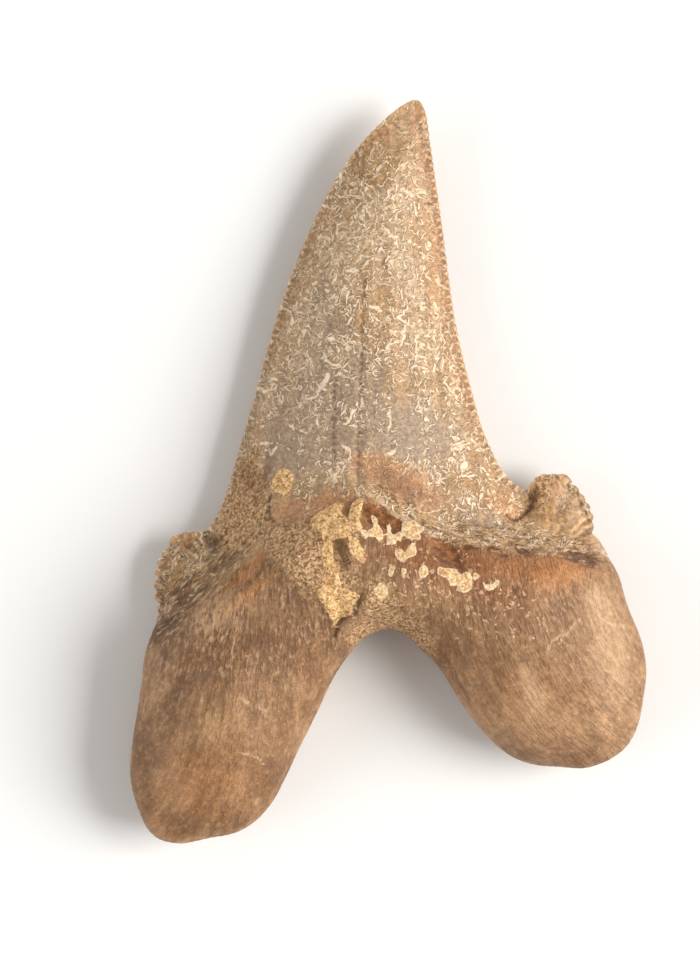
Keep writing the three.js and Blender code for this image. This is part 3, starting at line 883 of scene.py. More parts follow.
    def mark(self, rim: Rim) -> None:
        """Fills the markings that say where on the tooth each vertex lies, and those of its weathering.

        Args:
            rim: The line between the two faces.
        """
        from_rim = nearest_on_path(self.places, rim.path)
        inner = nearest_on_path(self.places, smooth_curve(LINGUAL_NECK))
        outer = nearest_on_path(self.places, smooth_curve(LABIAL_NECK))
        above_neck = np.where(self.lingual, inner.distance * inner.side, outer.distance * outer.side)
        self.marks["rim_mm"] = from_rim.distance
        self.marks["crest"] = np.interp(from_rim.along, rim.lengths, rim.crest)
        self.marks["enamel_mm"] = above_neck
        self.marks["flow"] = self.flow()[:, 0]
        # Painted light and shade along the cusplets' ridges, for the enamel's colour.
        self.marks["ray_shading"] = 0.5 + self.ray_shade_contrast * self.lingual * self.cusplet_rays()
        lines = np.where(above_neck[:, None] > 0, self.fan(), self.flow())
        for number, (weather, size) in enumerate(WEATHER_SIZES.items()):
            narrow_size = tuple(self.narrowing * length for length in size)
            wide = Lumps(self.wide_weather, size, 11.3 * number)
            narrow = Lumps(self.narrow_weather, narrow_size, 7.9 * number + 3.1)
            self.marks[weather] = 0.5 + wide.at(lines) + narrow.at(lines)

    def mark_inner_face(self) -> None:
        """Fills the markings of the patches, stains and grooves, which lie on the inner face only."""
        drift = self.wall_drift.at(self.places) * smooth_step(-self.normals[:, 2], -0.6, 0.0)
        drifted = self.places + np.stack([drift, drift, np.zeros(len(drift))], axis=1)
        for ground, patches in PATCHES.items():
            depths = [depth_inside(drifted, patch.outline) for patch in patches.values()]
            deepest = np.maximum(np.maximum.reduce(depths), -self.far)
            self.marks[ground] = np.where(self.lingual, deepest, -self.far)
        for tint, stains in STAINS.items():
            weights = sum(stain.weight_at(self.places) for stain in stains.values())
            self.marks[tint] = np.where(self.lingual, np.minimum(weights, 1.0), 0.0)
        for tone in Tone:
            paths = [smooth_curve(groove.path) for groove in GROOVES.values() if groove.tone is tone]
            nearest = np.minimum.reduce([nearest_on_path(self.places, path).distance for path in paths])
            self.marks[tone] = np.where(self.lingual, nearest, self.far)

    def relief(self) -> np.ndarray:
        """Works out how far each vertex moves out along its normal.

        Returns:
            One distance for each vertex, negative where it moves in.
        """
        settled = smooth_step(self.marks["rim_mm"], 0.0, 0.5)
        enamel = smooth_step(self.marks["enamel_mm"], -0.4, 0.4)
        face = enamel * self.crown_relief() + (1 - enamel) * self.root_relief() + self.patch_relief()
        return self.serrations() + settled * face

    def serrations(self) -> np.ndarray:
        """Works out the grooves that run in from the notches between serrations.

        Returns:
            How far each vertex moves, negative where it moves in.
        """
        rim_mm, enamel_mm = self.marks["rim_mm"], self.marks["enamel_mm"]
        coarse = sum(cusplet.serrated(self.places) for cusplet in CUSPLETS)
        depth = self.groove_depth * (1 + 2.0 * coarse)
        fading = np.exp(-rim_mm / (self.groove_reach + 1.7 * coarse))
        on_edge = smooth_step(enamel_mm, 0.0, 1.0) * smooth_step(rim_mm, 0.0, 0.25)
        unworn = 1 - smooth_step(self.places[:, 1], *self.worn_tip)
        return -depth * (1 - self.marks["crest"]) * fading * on_edge * unworn

    def crown_relief(self) -> np.ndarray:
        """Works out the enamel's unevenness, the faint ridges up the crown and those of the cusplets.

        Returns:
            How far each vertex moves.
        """
        slow_and_fine = sum(lumps.at(self.places) for lumps in self.crown_lumps)
        grain = bell(self.marks["rim_mm"], 1.2, 1.3) * self.edge_grain.at(self.places)
        ridges = self.crown_ridges.at(self.fan()) + self.ridge_height * self.cusplet_rays()
        return slow_and_fine + grain + ridges

    def cusplet_rays(self) -> np.ndarray:
        """Ridges that fan out over both cusplets, with heights from about -0.5 to 0.5."""
        return sum(cusplet.rays(self.places) for cusplet in CUSPLETS)

    def root_relief(self) -> np.ndarray:
        """Works out the striations, which are deepest under the shoulder, and the root's unevenness.

        Returns:
            How far each vertex moves, negative where it moves in.
        """
        below = -self.marks["enamel_mm"]
        under_shoulder = 0.3 + smooth_step(below, 0.8, 2.5) * (1 - smooth_step(below, 5.0, 11.0))
        cut = smooth_step(self.striations.at(self.flow()), -0.05, 0.5) * under_shoulder
        worn_in = smooth_step(self.marks[Weather.WEAR], 0.3, 0.6)
        return sum(lumps.at(self.places) for lumps in self.root_lumps) - self.striation_depth * cut * worn_in

    def patch_relief(self) -> np.ndarray:
        """Works out the patches' steps, the grooves and cracks, and the grain of the sandy rock.

        Returns:
            How far each vertex moves, negative where it moves in.
        """
        sandy = smooth_step(np.maximum(self.marks[Ground.MATRIX], self.marks[Ground.GRIT]), -0.1, 0.3)
        total = sandy * sum(lumps.at(self.places) for lumps in self.sand_lumps)
        for patch in (patch for patches in PATCHES.values() for patch in patches.values()):
            depth = depth_inside(self.places, patch.outline)
            total += patch.rise * smooth_step(depth, -patch.slope, patch.slope)
        for groove in GROOVES.values():
            distance = nearest_on_path(self.places, smooth_curve(groove.path)).distance
            total -= groove.depth * bell(distance, 0.0, groove.width)
        return self.lingual * total

    def fan(self) -> np.ndarray:
        """The vertices' places in the fan of lines that run down the crown from far above its tip."""
        x, y, z = self.places.T
        return np.stack([(self.fan_top - self.fan_foot) * x / (self.fan_top - y), y, z], axis=1)

    def flow(self) -> np.ndarray:
        """Finds the vertices' places among the lines that run down the root and bend out along its lobes.

        Returns:
            Rows of x, y and z, where x stays the same along a line.
        """
        x, y, z = self.places.T
        spread = np.exp(self.lobe_bend * np.minimum(y - self.lobe_top, 0) ** 2)
        return np.stack([(x - self.lobe_middle) / spread, y, z], axis=1)


# ------------------------------------------------------------------ the finish


@dataclass(frozen=True)
class Coat:
    """A colour that is laid over others where a value rises, or falls, from one limit to another.

    Attributes:
        code: The colour.
        start: The value at which it begins to show.
        full: The value at which it shows most.
        most: Its share there.
    """

    code: str
    start: float
    full: float
    most: float = 1.0


# The Mix node's inputs for the share, for two values and for two colours, and its output for a colour.
MIX_SHARE = 0
MIX_VALUES = (2, 3)
MIX_COLOURS = (6, 7)
MIX_COLOUR_OUT = 2


class Painter:
    """Builds one material's nodes, a value or a colour at a time. Places and sizes are in millimetres.

    A node is always made after the nodes that feed it, which keeps the material small enough to render.

    Attributes:
        place: Where the shaded point lies.
        flowing: The same among the lines that run down the root's lobes.
        by_neck: The same with y measured from the enamel's lower border.
        bent: The same pushed about a little, which curves the strokes that are drawn there.
        ragged: Unevenness over a millimetre, which frays the borders of patches.
        fine: The same over less than half a millimetre.
        grain: Grain that can only just be seen.
        mottle: The last two together, from 0 to 1.
    """

    noise_shift: Triple = (5.3, 8.7, 3.1)
    bend: Triple = (1.3, 1.3, 0.0)

    def __init__(self, name: str) -> None:
        """Starts a material.

        Args:
            name: The material's name.
        """
        self.material = bpy.data.materials.new(name)
        self.material.use_nodes = True
        self.tree = self.material.node_tree
        self.tree.nodes.clear()
        self.noises = 0
        self.place = self.moved(self.node("TexCoord").outputs["Object"], (0.0, 0.0, 0.0), (1 / MM,) * 3)
        self.ragged = self.math("SUBTRACT", self.noise(size=1.0, detail=3.0, rough=0.7), 0.5)
        self.fine = self.math("SUBTRACT", self.noise(size=0.42, detail=1.0, rough=0.6), 0.5)
        self.grain = self.noise(size=0.24, detail=2.0, rough=0.8)
        self.mottle = self.rise(self.add(self.grain, self.fine), 0.22, 0.78)
        slow = {"Vector": self.place, "Scale": 0.7, "Detail": 2.0, "Roughness": 0.55}
        pushed = self.node("TexNoise", slow, noise_dimensions="2D").outputs["Color"]
        self.bent = self.vector("MULTIPLY_ADD", pushed, self.bend, self.place)
        across, up, out = self.split(self.place)
        self.flowing = self.join(self.mark("flow"), up, out)
        self.by_neck = self.join(across, self.mark("enamel_mm"), 0.0)

    def node(self, kind: str, inputs: Sequence | dict = (), **settings: str) -> bpy.types.Node:
        """Adds a node.

        Args:
            kind: What Blender calls it, without "ShaderNode".
            inputs: What goes into it, in order or by the names or numbers of its inputs. Sockets are linked
                to it, and all else is set.
            settings: The node's own settings.

        Returns:
            The node.
        """
        node = self.tree.nodes.new("ShaderNode" + kind)
        for name, value in settings.items():
            setattr(node, name, value)
        for key, value in inputs.items() if isinstance(inputs, dict) else enumerate(inputs):
            if isinstance(value, Socket):
                self.tree.links.new(value, node.inputs[key])
            else:
                node.inputs[key].default_value = value
        return node

    def math(self, operation: str, *values: Value) -> Socket:
        """Works out one value from others."""
        return self.node("Math", values, operation=operation).outputs[0]

    def add(self, *values: Value) -> Socket:
        """Adds values up."""
        return reduce(lambda total, value: self.math("ADD", total, value), values)

    def times(self, *values: Value) -> Socket:
        """Multiplies values."""
        return reduce(lambda product, value: self.math("MULTIPLY", product, value), values)

    def frayed(self, value: Value, by: float) -> Socket:
        """Makes a value uneven over a millimetre, by a given amount."""
        return self.math("MULTIPLY_ADD", self.ragged, by, value)

    def vector(self, operation: str, *values: Value | Triple) -> Socket:
        """Works out one vector from others."""
        return self.node("VectorMath", values, operation=operation).outputs[0]

    def moved(self, place: Value, shift: Triple, scale: Triple) -> Socket:
        """Scales a place, then shifts it."""
        return self.node("Mapping", {"Vector": place, "Location": shift, "Scale": scale}).outputs[0]

    def split(self, vector: Value) -> tuple[Socket, ...]:
        """Splits a vector into its three parts."""
        return tuple(self.node("SeparateXYZ", [vector]).outputs)

    def join(self, x: Value, y: Value, z: Value) -> Socket:
        """Joins three values to a vector."""
        return self.node("CombineXYZ", (x, y, z)).outputs[0]

    def mark(self, name: str) -> Socket:
        """Reads one of the tooth's vertex attributes."""
        return self.node("Attribute", attribute_name=name).outputs["Fac"]

    def rise(self, value: Value, low: float, high: float) -> Socket:
        """Rises smoothly from 0 where value is low to 1 where it is high, or falls if high is the lower."""
        limits = (high, low, 1.0, 0.0) if high < low else (low, high, 0.0, 1.0)
        return self.node("MapRange", (value, *limits), interpolation_type="SMOOTHSTEP").outputs[0]

    def noise(
        self, size: float | Triple, detail: float = 2.0, rough: float = 0.5, warp: float = 0.0,
        place: Value | None = None,
    ) -> Socket:
        """Makes noise with lumps of a given size.

        Args:
            size: The lumps' size, alike in all directions or one for each axis.
            detail: How many finer layers it has.
            rough: How strong those are.
            warp: How far it is bent out of shape.
            place: Where it is read, if not at the shaded point's own place.

        Returns:
            Values around 0.5.
        """
        sizes = size if isinstance(size, tuple) else (size,) * 3
        self.noises += 1
        shift = tuple(self.noises * step for step in self.noise_shift)
        scale = tuple(1 / length for length in sizes)
        there = self.moved(self.place if place is None else place, shift, scale)
        inputs = {"Vector": there, "Scale": 1.0, "Detail": detail, "Roughness": rough, "Distortion": warp}
        return self.node("TexNoise", inputs).outputs["Fac"]

    def blend(
        self, share: Value, low: Value | Colour, high: Value | Colour, how: str = "MIX"
    ) -> Socket:
        """Mixes two colours, of which the second one shows where share is 1."""
        inputs = dict(zip((MIX_SHARE, *MIX_COLOURS), (share, low, high)))
        return self.node("Mix", inputs, data_type="RGBA", blend_type=how).outputs[MIX_COLOUR_OUT]

    def between(self, share: Value, low: Value, high: Value) -> Socket:
        """Mixes two values, of which the second one counts where share is 1."""
        return self.node("Mix", dict(zip((MIX_SHARE, *MIX_VALUES), (share, low, high)))).outputs[0]

    def shade(self, colour: Value, value: Value, dark: float, light: float) -> Socket:
        """Makes a colour darker where value is 0 and lighter where it is 1.

        Args:
            colour: The colour.
            value: From 0 to 1.
            dark: What the colour is multiplied with at 0.
            light: What it is multiplied with at 1.

        Returns:
            The shaded colour.
        """
        factor = self.between(value, dark, light)
        grey = self.node("CombineColor", (factor,) * 3).outputs[0]
        return self.blend(1.0, colour, grey, "MULTIPLY")

    def coat(self, colour: Value | Colour, value: Value, coat: Coat, *masks: Value) -> Socket:
        """Lays a coat over a colour.

        Args:
            colour: The colour.
            value: What says where the coat shows.
            coat: The coat.
            masks: More values from 0 to 1, with which its share is multiplied.

        Returns:
            The colour with the coat.
        """
        shares = [self.rise(value, coat.start, coat.full), *masks]
        if coat.most < 1:
            shares.append(coat.most)
        return self.blend(self.times(*shares), colour, paint(coat.code))

    def finish(self, colour: Value, roughness: Value, height: Value, specular: float) -> bpy.types.Material:
        """Joins the colour, roughness and relief to the surface.

        Args:
            colour: The base colour.
            roughness: The roughness.
            height: The fine relief.
            specular: How strongly the surface reflects, 0.5 for stone.

        Returns:
            The material.
        """
        bump = self.node("Bump", {"Distance": MM, "Height": height}).outputs[0]
        looks = {"Base Color": colour, "Roughness": roughness, "Specular IOR Level": specular, "Normal": bump}
        self.node("OutputMaterial", {"Surface": self.node("BsdfPrincipled", looks).outputs[0]})
        return self.material


@dataclass(frozen=True)
class StrokeLayer:
    """One layer of short pale strokes, with one in each cell of a random net.

    Attributes:
        cell: The size of the cells.
        length: The longest stroke.
        width: The strokes' width.
        seed: Another number gives other strokes.
        shortest: The shortest stroke's share of the longest.
        narrowing: How much narrower a stroke is at its ends.
        narrowest: Its least share of its width.
        faintest: The faintest stroke's strength.
        bolder: How much more the boldest one has.
        nudge: How far a stroke pushes those of the next layer aside.
    """

    cell: float
    length: float
    width: float
    seed: float
    shortest: float = 0.24
    narrowing: float = 0.5
    narrowest: float = 0.4
    faintest: float = 0.42
    bolder: float = 0.62
    nudge: float = 0.08

    def draw(self, painter: Painter, share: Value, place: Value) -> Socket:
        """Draws the strokes.

        Args:
            painter: The material's painter.
            share: How many of the cells have one, from 0 to 1.
            place: The bent place at which they are read.

        Returns:
            0 beside the strokes, rising to a stroke's strength along its middle.
        """
        inside = painter.moved(place, (self.seed, 1.7 * self.seed, 0.0), (1 / self.cell,) * 3)
        cells = painter.node("TexVoronoi", {"Vector": inside, "Scale": 1.0}, voronoi_dimensions="2D")
        turn, reach, chance = painter.node("SeparateColor", [cells.outputs["Color"]]).outputs
        from_middle = painter.vector("SUBTRACT", inside, cells.outputs["Position"])
        turning = {"Vector": from_middle, "Angle": painter.times(turn, math.tau)}
        turned = painter.node("VectorRotate", turning, rotation_type="Z_AXIS").outputs[0]
        along, across, _ = painter.split(turned)
        half = 0.5 * self.length / self.cell
        half = painter.math("MULTIPLY_ADD", reach, (1 - self.shortest) * half, self.shortest * half)
        along = painter.math("ABSOLUTE", along)
        past = painter.math("MAXIMUM", painter.math("SUBTRACT", along, half), 0.0)
        squares = (painter.math("POWER", length, 2.0) for length in (past, across))
        away = painter.math("SQRT", painter.add(*squares))
        taper = painter.math("MULTIPLY_ADD", painter.math("DIVIDE", along, half), -self.narrowing, 1.0)
        wide = painter.times(painter.math("MAXIMUM", taper, self.narrowest), self.width / self.cell)
        near = painter.math("MAXIMUM", painter.math("SUBTRACT", 1.0, painter.math("DIVIDE", away, wide)), 0.0)
        luck = painter.math("FRACT", painter.times(chance, 7.31))
        bold = painter.math("MULTIPLY_ADD", luck, self.bolder, self.faintest)
        return painter.times(near, painter.math("LESS_THAN", chance, share), bold)


def tangle(painter: Painter, layers: Sequence[StrokeLayer], share: Value) -> list[Socket]:
    """Lays short curved strokes over each other, each layer nudged aside a little by the one before.

    Args:
        painter: The material's painter.
        layers: The layers of strokes.
        share: How many of a layer's strokes there are, from 0 to 1.

    Returns:
        How near the middle of a stroke each point is, from 0 beside the strokes up to 1. The first value
        counts the first layer's strokes, the next those of the first two, and so on.
    """
    place, totals = painter.bent, [0.0]
    for layer in layers:
        drawn = layer.draw(painter, share, place)
        place = painter.vector("ADD", place, painter.join(painter.times(drawn, layer.nudge), 0.0, 0.0))
        totals.append(painter.math("MAXIMUM", totals[-1], drawn))
    return totals[1:]


@dataclass(frozen=True)
class Layered:
    """A ground's colour, roughness and fine relief, before the grounds are laid over each other."""

    colour: Socket
    roughness: Value
    height: Value

    def covered(self, painter: Painter, cover: "Layered", share: Value, relief_share: Value) -> "Layered":
        """Lays another ground over this one.

        Args:
            painter: The material's painter.
            cover: The other ground.
            share: Where it shows, from 0 to 1.
            relief_share: The same with an even border, for the fine relief.

        Returns:
            The two together.
        """
        return Layered(
            painter.blend(share, self.colour, cover.colour),
            painter.between(share, self.roughness, cover.roughness),
            painter.between(relief_share, self.height, cover.height),
        )


@dataclass(frozen=True)
class EnamelFinish:
    """The crown's worn enamel: tan under a tangle of short pale strokes, with bright beads at its edge.

    Attributes:
        deep: Its darker ground colour.
        brown: Its lighter ground colour.
        grey: The grey haze, in bands that run up the crown.
        band_haze: How much less of it there is on a band.
        edge: The colour along the cutting edges.
        edge_fray: How far that goes in and out.
        stains: Its stains' colours.
        stain_fray: How much their borders fray.
        banded: The least and the most that the bands multiply the colour with.
        ray_light_and_shade: The same for the cusplets' ridges, which paints light on them and shade between
            them.
        milk: The milky haze.
        milk_fray: How much that frays.
        milk_veil: How much more of it there is on milky enamel.
        mottled: The least and the most that the mottle multiplies the colour with.
        shadow: What the colour is multiplied with beside a stroke, as painted shade.
        stroke_sides: How near its middle a stroke begins to show, and shows in full.
        cream: The colour of a stroke's sides.
        bright: The colour along its middle.
        peach: The colour of strokes on orange ground.
        spread: The strokes' share, before the next four numbers are added where they apply.
        crowding: Where the strokes crowd together.
        fewer_stained: Where the enamel is stained.
        fewer_worn: Where it is worn.
        fewer_fibrous: Where it is fibrous.
        layers: The strokes.
        shown: How many layers of them stand out in the relief.
        stroke_height: How far they stand out.
        grain_height: How far the enamel's grain stands out.
        roughness: How rough the enamel is between the strokes.
        rougher: How much rougher the strokes are.
        bead: The colour of a serration's crest, painted as a highlight.
        bead_fray: How far the beads and notches go in and out.
        notch: What the colour is multiplied with in a notch, as painted shade.
    """

    deep: str = "#A47D53"
    brown: Coat = Coat("#BD966B", 0.6, 1.4)
    grey: Coat = Coat("#A58E77", -0.35, 0.5, 0.8)
    band_haze: float = 0.8
    edge: Coat = Coat("#BE9369", 2.8, 0.4, 0.8)
    edge_fray: float = 3.0
    stains: tuple[tuple[Tint, Coat], ...] = (
        (Tint.OCHRE, Coat("#B08858", 0.1, 0.9, 0.9)),
        (Tint.ORANGE, Coat("#BF895F", 0.1, 0.9, 0.9)),
    )
    stain_fray: float = 0.8
    banded: Span = (0.92, 1.08)
    ray_light_and_shade: Span = (0.6, 1.4)
    milk: Coat = Coat("#CDAF8C", 0.5, 1.5, 0.8)
    milk_fray: float = 2.0
    milk_veil: float = 0.7
    mottled: Span = (0.84, 1.14)
    shadow: float = 0.7
    stroke_sides: Span = (0.26, 0.78)
    cream: str = "#DDBE96"
    bright: Coat = Coat("#F0D8BC", 0.5, 0.85)
    peach: Coat = Coat("#EBC193", 0.1, 0.8)
    spread: float = 0.17
    crowding: float = 1.1
    fewer_stained: float = -0.36
    fewer_worn: float = -1.2
    fewer_fibrous: float = -0.4
    layers: tuple[StrokeLayer, ...] = (
        StrokeLayer(1.5, 1.5, 0.27, 0.0),
        StrokeLayer(2.0, 2.1, 0.34, 31.0),
        StrokeLayer(1.1, 1.2, 0.25, 57.0),
        StrokeLayer(0.9, 0.9, 0.22, 83.0),
        StrokeLayer(2.8, 3.2, 0.42, 112.0),
        StrokeLayer(0.7, 0.4, 0.19, 141.0),
        StrokeLayer(0.75, 0.8, 0.2, 173.0),
        StrokeLayer(0.6, 0.55, 0.17, 201.0),
    )
    shown: int = 4
    stroke_height: float = 0.08
    grain_height: float = 0.09
    roughness: float = 0.42
    rougher: float = 0.15
    bead: Coat = Coat("#EABF8F", 1.1, 0.5)
    bead_fray: float = 1.6
    notch: float = 0.75

    def lay(self, painter: Painter) -> Layered:
        """Builds the enamel's nodes.

        Args:
            painter: The material's painter.

        Returns:
            The enamel's colour, roughness and relief.
        """
        veil, crowd = painter.mark(Tint.VEIL), painter.mark(Weather.CROWD)
        tangles = tangle(painter, self.layers, self.stroke_share(painter, veil, crowd))
        near = tangles[-1]
        drawn = painter.rise(near, *self.stroke_sides)
        milky = painter.times(veil, self.milk_veil)
        milky = painter.add(painter.times(painter.ragged, self.milk_fray), milky, crowd)
        colour = painter.coat(self.base_colour(painter), milky, self.milk)
        colour = painter.shade(colour, painter.mottle, *self.mottled)
        # A ring of painted shade around each raised stroke.
        beside = painter.times(painter.rise(near, 0.0, 0.2), painter.rise(near, 0.45, 0.2))
        colour = painter.shade(colour, beside, 1.0, self.shadow)
        stroke = painter.coat(paint(self.cream), near, self.bright)
        stroke = painter.coat(stroke, painter.mark(Tint.ORANGE), self.peach)
        colour = self.beaded(painter, painter.blend(drawn, colour, stroke))
        raised = painter.times(painter.rise(tangles[self.shown - 1], 0.2, 0.8), self.stroke_height)
        height = painter.add(raised, painter.times(painter.grain, self.grain_height))
        return Layered(colour, painter.math("MULTIPLY_ADD", drawn, self.rougher, self.roughness), height)

    def stroke_share(self, painter: Painter, veil: Value, crowd: Value) -> Socket:
        """Works out how many strokes there are.

        Args:
            painter: The material's painter.
            veil: How milky the enamel is.
            crowd: How the strokes crowd together.

        Returns:
            The share of a layer's strokes, none at 0 or less and all at 1 or more.
        """
        stained = painter.add(*(painter.mark(tint) for tint in (Tint.ORANGE, Tint.OCHRE, Tint.GREY)))
        worn = painter.rise(painter.mark(Ground.WORN), -0.6, 0.2)
        return painter.add(
            painter.times(painter.rise(crowd, 0.25, 0.75), self.crowding),
            veil,
            painter.times(stained, self.fewer_stained),
            painter.times(worn, self.fewer_worn),
            painter.times(painter.mark(Tint.FIBRE), self.fewer_fibrous),
            self.spread,
        )

    def beaded(self, painter: Painter, colour: Value) -> Socket:
        """Lightens the serrations' crests with a painted highlight and darkens the notches between them with
        painted shade.

        Args:
            painter: The material's painter.
            colour: The enamel's colour.

        Returns:
            The colour with the beads.
        """
        rim_mm, crest = painter.mark("rim_mm"), painter.mark("crest")
        frayed = painter.math("MULTIPLY_ADD", painter.fine, self.bead_fray, rim_mm)
        fresh = painter.math("MULTIPLY_ADD", painter.mark(Tint.ORANGE), 0.6, 0.2)
        colour = painter.coat(colour, frayed, self.bead, painter.rise(crest, 0.35, 0.8), fresh)
        # Painted shade in the notches between serrations.
        notch_shade = painter.times(painter.rise(frayed, 1.2, 0.4), painter.rise(crest, 0.45, 0.1))
        return painter.shade(colour, notch_shade, 1.0, self.notch)

    def base_colour(self, painter: Painter) -> Socket:
        """Makes the enamel's colour under its strokes.

        Args:
            painter: The material's painter.

        Returns:
            The colour.
        """
        frayed, band = painter.times(painter.ragged, self.stain_fray), painter.mark(Weather.BAND)
        uneven = painter.add(painter.mark(Weather.TONE), painter.times(painter.ragged, 0.5), band)
        colour = painter.coat(paint(self.deep), uneven, self.brown)
        haze = painter.math("MULTIPLY_ADD", band, -self.band_haze, painter.mark(Tint.GREY))
        colour = painter.coat(colour, haze, self.grey)
        colour = painter.coat(colour, painter.frayed(painter.mark("rim_mm"), self.edge_fray), self.edge)
        for tint, coat in self.stains:
            colour = painter.coat(colour, painter.add(painter.mark(tint), frayed), coat)
        colour = painter.shade(colour, painter.rise(band, 0.2, 0.8), *self.banded)
        # Painted light on the cusplets' ridges and painted shade between them.
        return painter.shade(colour, painter.mark("ray_shading"), *self.ray_light_and_shade)


@dataclass(frozen=True)
class RootFinish:
    """The root: dull brown mineralised bone with fine lengthwise striations.

    Attributes:
        brown: Its darker ground colour.
        tan: Its lighter ground colour.
        mauve: The darker colour between its striations.
        stains: Its stains' colours.
        stain_fray: How much their borders fray.
        dark_line: The striations.
        light_line: The thin ridges between them.
        more_light: How much more of those there are than striations.
        line_size: The lines' size across, along and out.
        line_depth: How deep they are.
        speck: The small pale specks all over it.
        dot: The larger ones, in places.
        dots: The sizes of those.
        streaked: The least and the most that the streaks multiply the colour with.
        streak_size: The streaks' size across, along and out.
        streak_height: How high they are.
        grain_height: How far its grain stands out.
        roughness: How rough it is.
    """

    brown: str = "#835D3B"
    tan: Coat = Coat("#B0865F", 0.7, 1.6)
    mauve: Coat = Coat("#7E5D44", 0.45, 0.85, 0.75)
    stains: tuple[tuple[Tint, Coat], ...] = (
        (Tint.OCHRE, Coat("#A9824F", 0.0, 0.9, 0.9)),
        (Tint.ORANGE, Coat("#BC7E4A", 0.0, 0.9, 0.9)),
        (Tint.PALE, Coat("#D2A87E", 0.0, 0.9, 0.9)),
        (Tint.RED, Coat("#8E5832", 0.0, 0.9, 0.9)),
        (Tint.RUST, Coat("#B3733A", 0.0, 0.9, 0.9)),
    )
    stain_fray: float = 0.6
    dark_line: Coat = Coat("#63422A", 0.5, 0.38, 0.75)
    light_line: Coat = Coat("#D7AF86", 0.54, 0.66, 0.55)
    more_light: float = 0.15
    line_size: Triple = (0.29, 0.85, 1.0)
    line_depth: float = 0.06
    speck: Coat = Coat("#D7AF86", 0.16, 0.24, 0.2)
    dot: Coat = Coat("#D7AF86", 0.3, 0.5, 0.85)
    dots: tuple[StrokeLayer, ...] = (
        StrokeLayer(0.7, 0.4, 0.26, 11.0),
        StrokeLayer(1.2, 0.6, 0.4, 71.0),
    )
    streaked: Span = (0.88, 1.12)
    streak_size: Triple = (0.4, 4.5, 1.5)
    streak_height: float = 0.08
    grain_height: float = 0.05
    roughness: float = 0.6

    def lay(self, painter: Painter) -> Layered:
        """Builds the root's nodes.

        Args:
            painter: The material's painter.

        Returns:
            The root's colour, roughness and relief.
        """
        wear, striae = painter.mark(Weather.WEAR), painter.mark(Tint.STRIAE)
        patchy = painter.rise(painter.frayed(wear, 0.9), 0.15, 0.6)
        strength = painter.times(painter.math("MULTIPLY_ADD", striae, 0.8, 0.2), patchy)
        lines = painter.noise(self.line_size, detail=2.0, rough=0.6, place=painter.flowing)
        streaks = painter.noise(self.streak_size, detail=3.0, rough=0.6, place=painter.flowing)
        dots = tangle(painter, self.dots, painter.mark(Tint.SPECKLE))[-1]
        colour = self.base_colour(painter, striae)
        colour = painter.coat(colour, lines, self.dark_line, strength)
        colour = painter.coat(colour, lines, self.light_line, painter.add(strength, self.more_light))
        colour = painter.coat(colour, painter.fine, self.speck)
        colour = painter.coat(colour, dots, self.dot)
        colour = painter.shade(colour, painter.rise(streaks, 0.3, 0.7), *self.streaked)
        height = painter.add(
            painter.times(painter.rise(lines, 0.55, 0.35), -self.line_depth),
            painter.times(painter.grain, self.grain_height),
            painter.times(streaks, self.streak_height),
        )
        return Layered(colour, self.roughness, height)

    def base_colour(self, painter: Painter, striae: Value) -> Socket:
        """Makes the root's colour under its striations and specks.

        Args:
            painter: The material's painter.
            striae: Where the root is striated, from 0 to 1.

        Returns:
            The colour.
        """
        frayed = painter.times(painter.ragged, self.stain_fray)
        uneven = painter.add(painter.mark(Weather.TONE), painter.mark(Weather.BAND), frayed)
        colour = painter.coat(paint(self.brown), uneven, self.tan)
        crowd = painter.frayed(painter.mark(Weather.CROWD), -0.9)
        colour = painter.coat(colour, crowd, self.mauve, painter.rise(striae, 0.0, 0.6))
        for tint, coat in self.stains:
            colour = painter.coat(colour, painter.add(painter.mark(tint), frayed), coat)
        return colour


@dataclass(frozen=True)
class NeckFinish:
    """The bare band below the enamel: smooth, dark red-brown and glossy.

    Attributes:
        dark: Its darker colour.
        red: Its lighter colour.
        roughness: How rough it is.
        height: How far it goes up and down.
    """

    dark: str = "#643C1C"
    red: Coat = Coat("#A36939", -0.1, 0.16)
    roughness: float = 0.3
    height: float = 0.1

    def lay(self, painter: Painter) -> Layered:
        """Builds the bare band's nodes.

        Args:
            painter: The material's painter.

        Returns:
            The band's colour, roughness and relief.
        """
        colour = painter.coat(paint(self.dark), painter.ragged, self.red)
        return Layered(colour, self.roughness, painter.times(painter.fine, self.height))


@dataclass(frozen=True)
class SandFinish:
    """Sandy rock: pale grains and a few dark specks over ochre, stained here and there.

    Attributes:
        ochre: The colour between the grains.
        stain: The same where it is stained.
        pale: The grains' colour.
        speck: The dark specks' colour.
        height: How far the grains stand out.
        pits: How dark the small pits in it are.
        roughness: How rough it is.
        mottled: The least and the most that the mottle multiplies the colour with.
    """

    ochre: str
    stain: str
    pale: str
    speck: str
    height: float
    pits: float
    roughness: float = 0.9
    mottled: Span = (0.88, 1.12)

    def lay(self, painter: Painter) -> Layered:
        """Builds the sandy rock's nodes.

        Args:
            painter: The material's painter.

        Returns:
            The rock's colour, roughness and relief.
        """
        colour = painter.coat(paint(self.ochre), painter.ragged, Coat(self.stain, -0.04, 0.16))
        grains = painter.math("MULTIPLY_ADD", painter.fine, 0.4, painter.grain)
        colour = painter.coat(colour, grains, Coat(self.pale, 0.42, 0.66, 0.55))
        colour = painter.coat(colour, painter.grain, Coat(self.speck, 0.42, 0.35, 0.7))
        colour = painter.coat(colour, painter.fine, Coat(self.speck, -0.18, -0.23, self.pits))
        colour = painter.shade(colour, painter.mottle, *self.mottled)
        bumps = painter.times(painter.add(painter.grain, painter.fine), self.height)
        return Layered(colour, self.roughness, bumps)


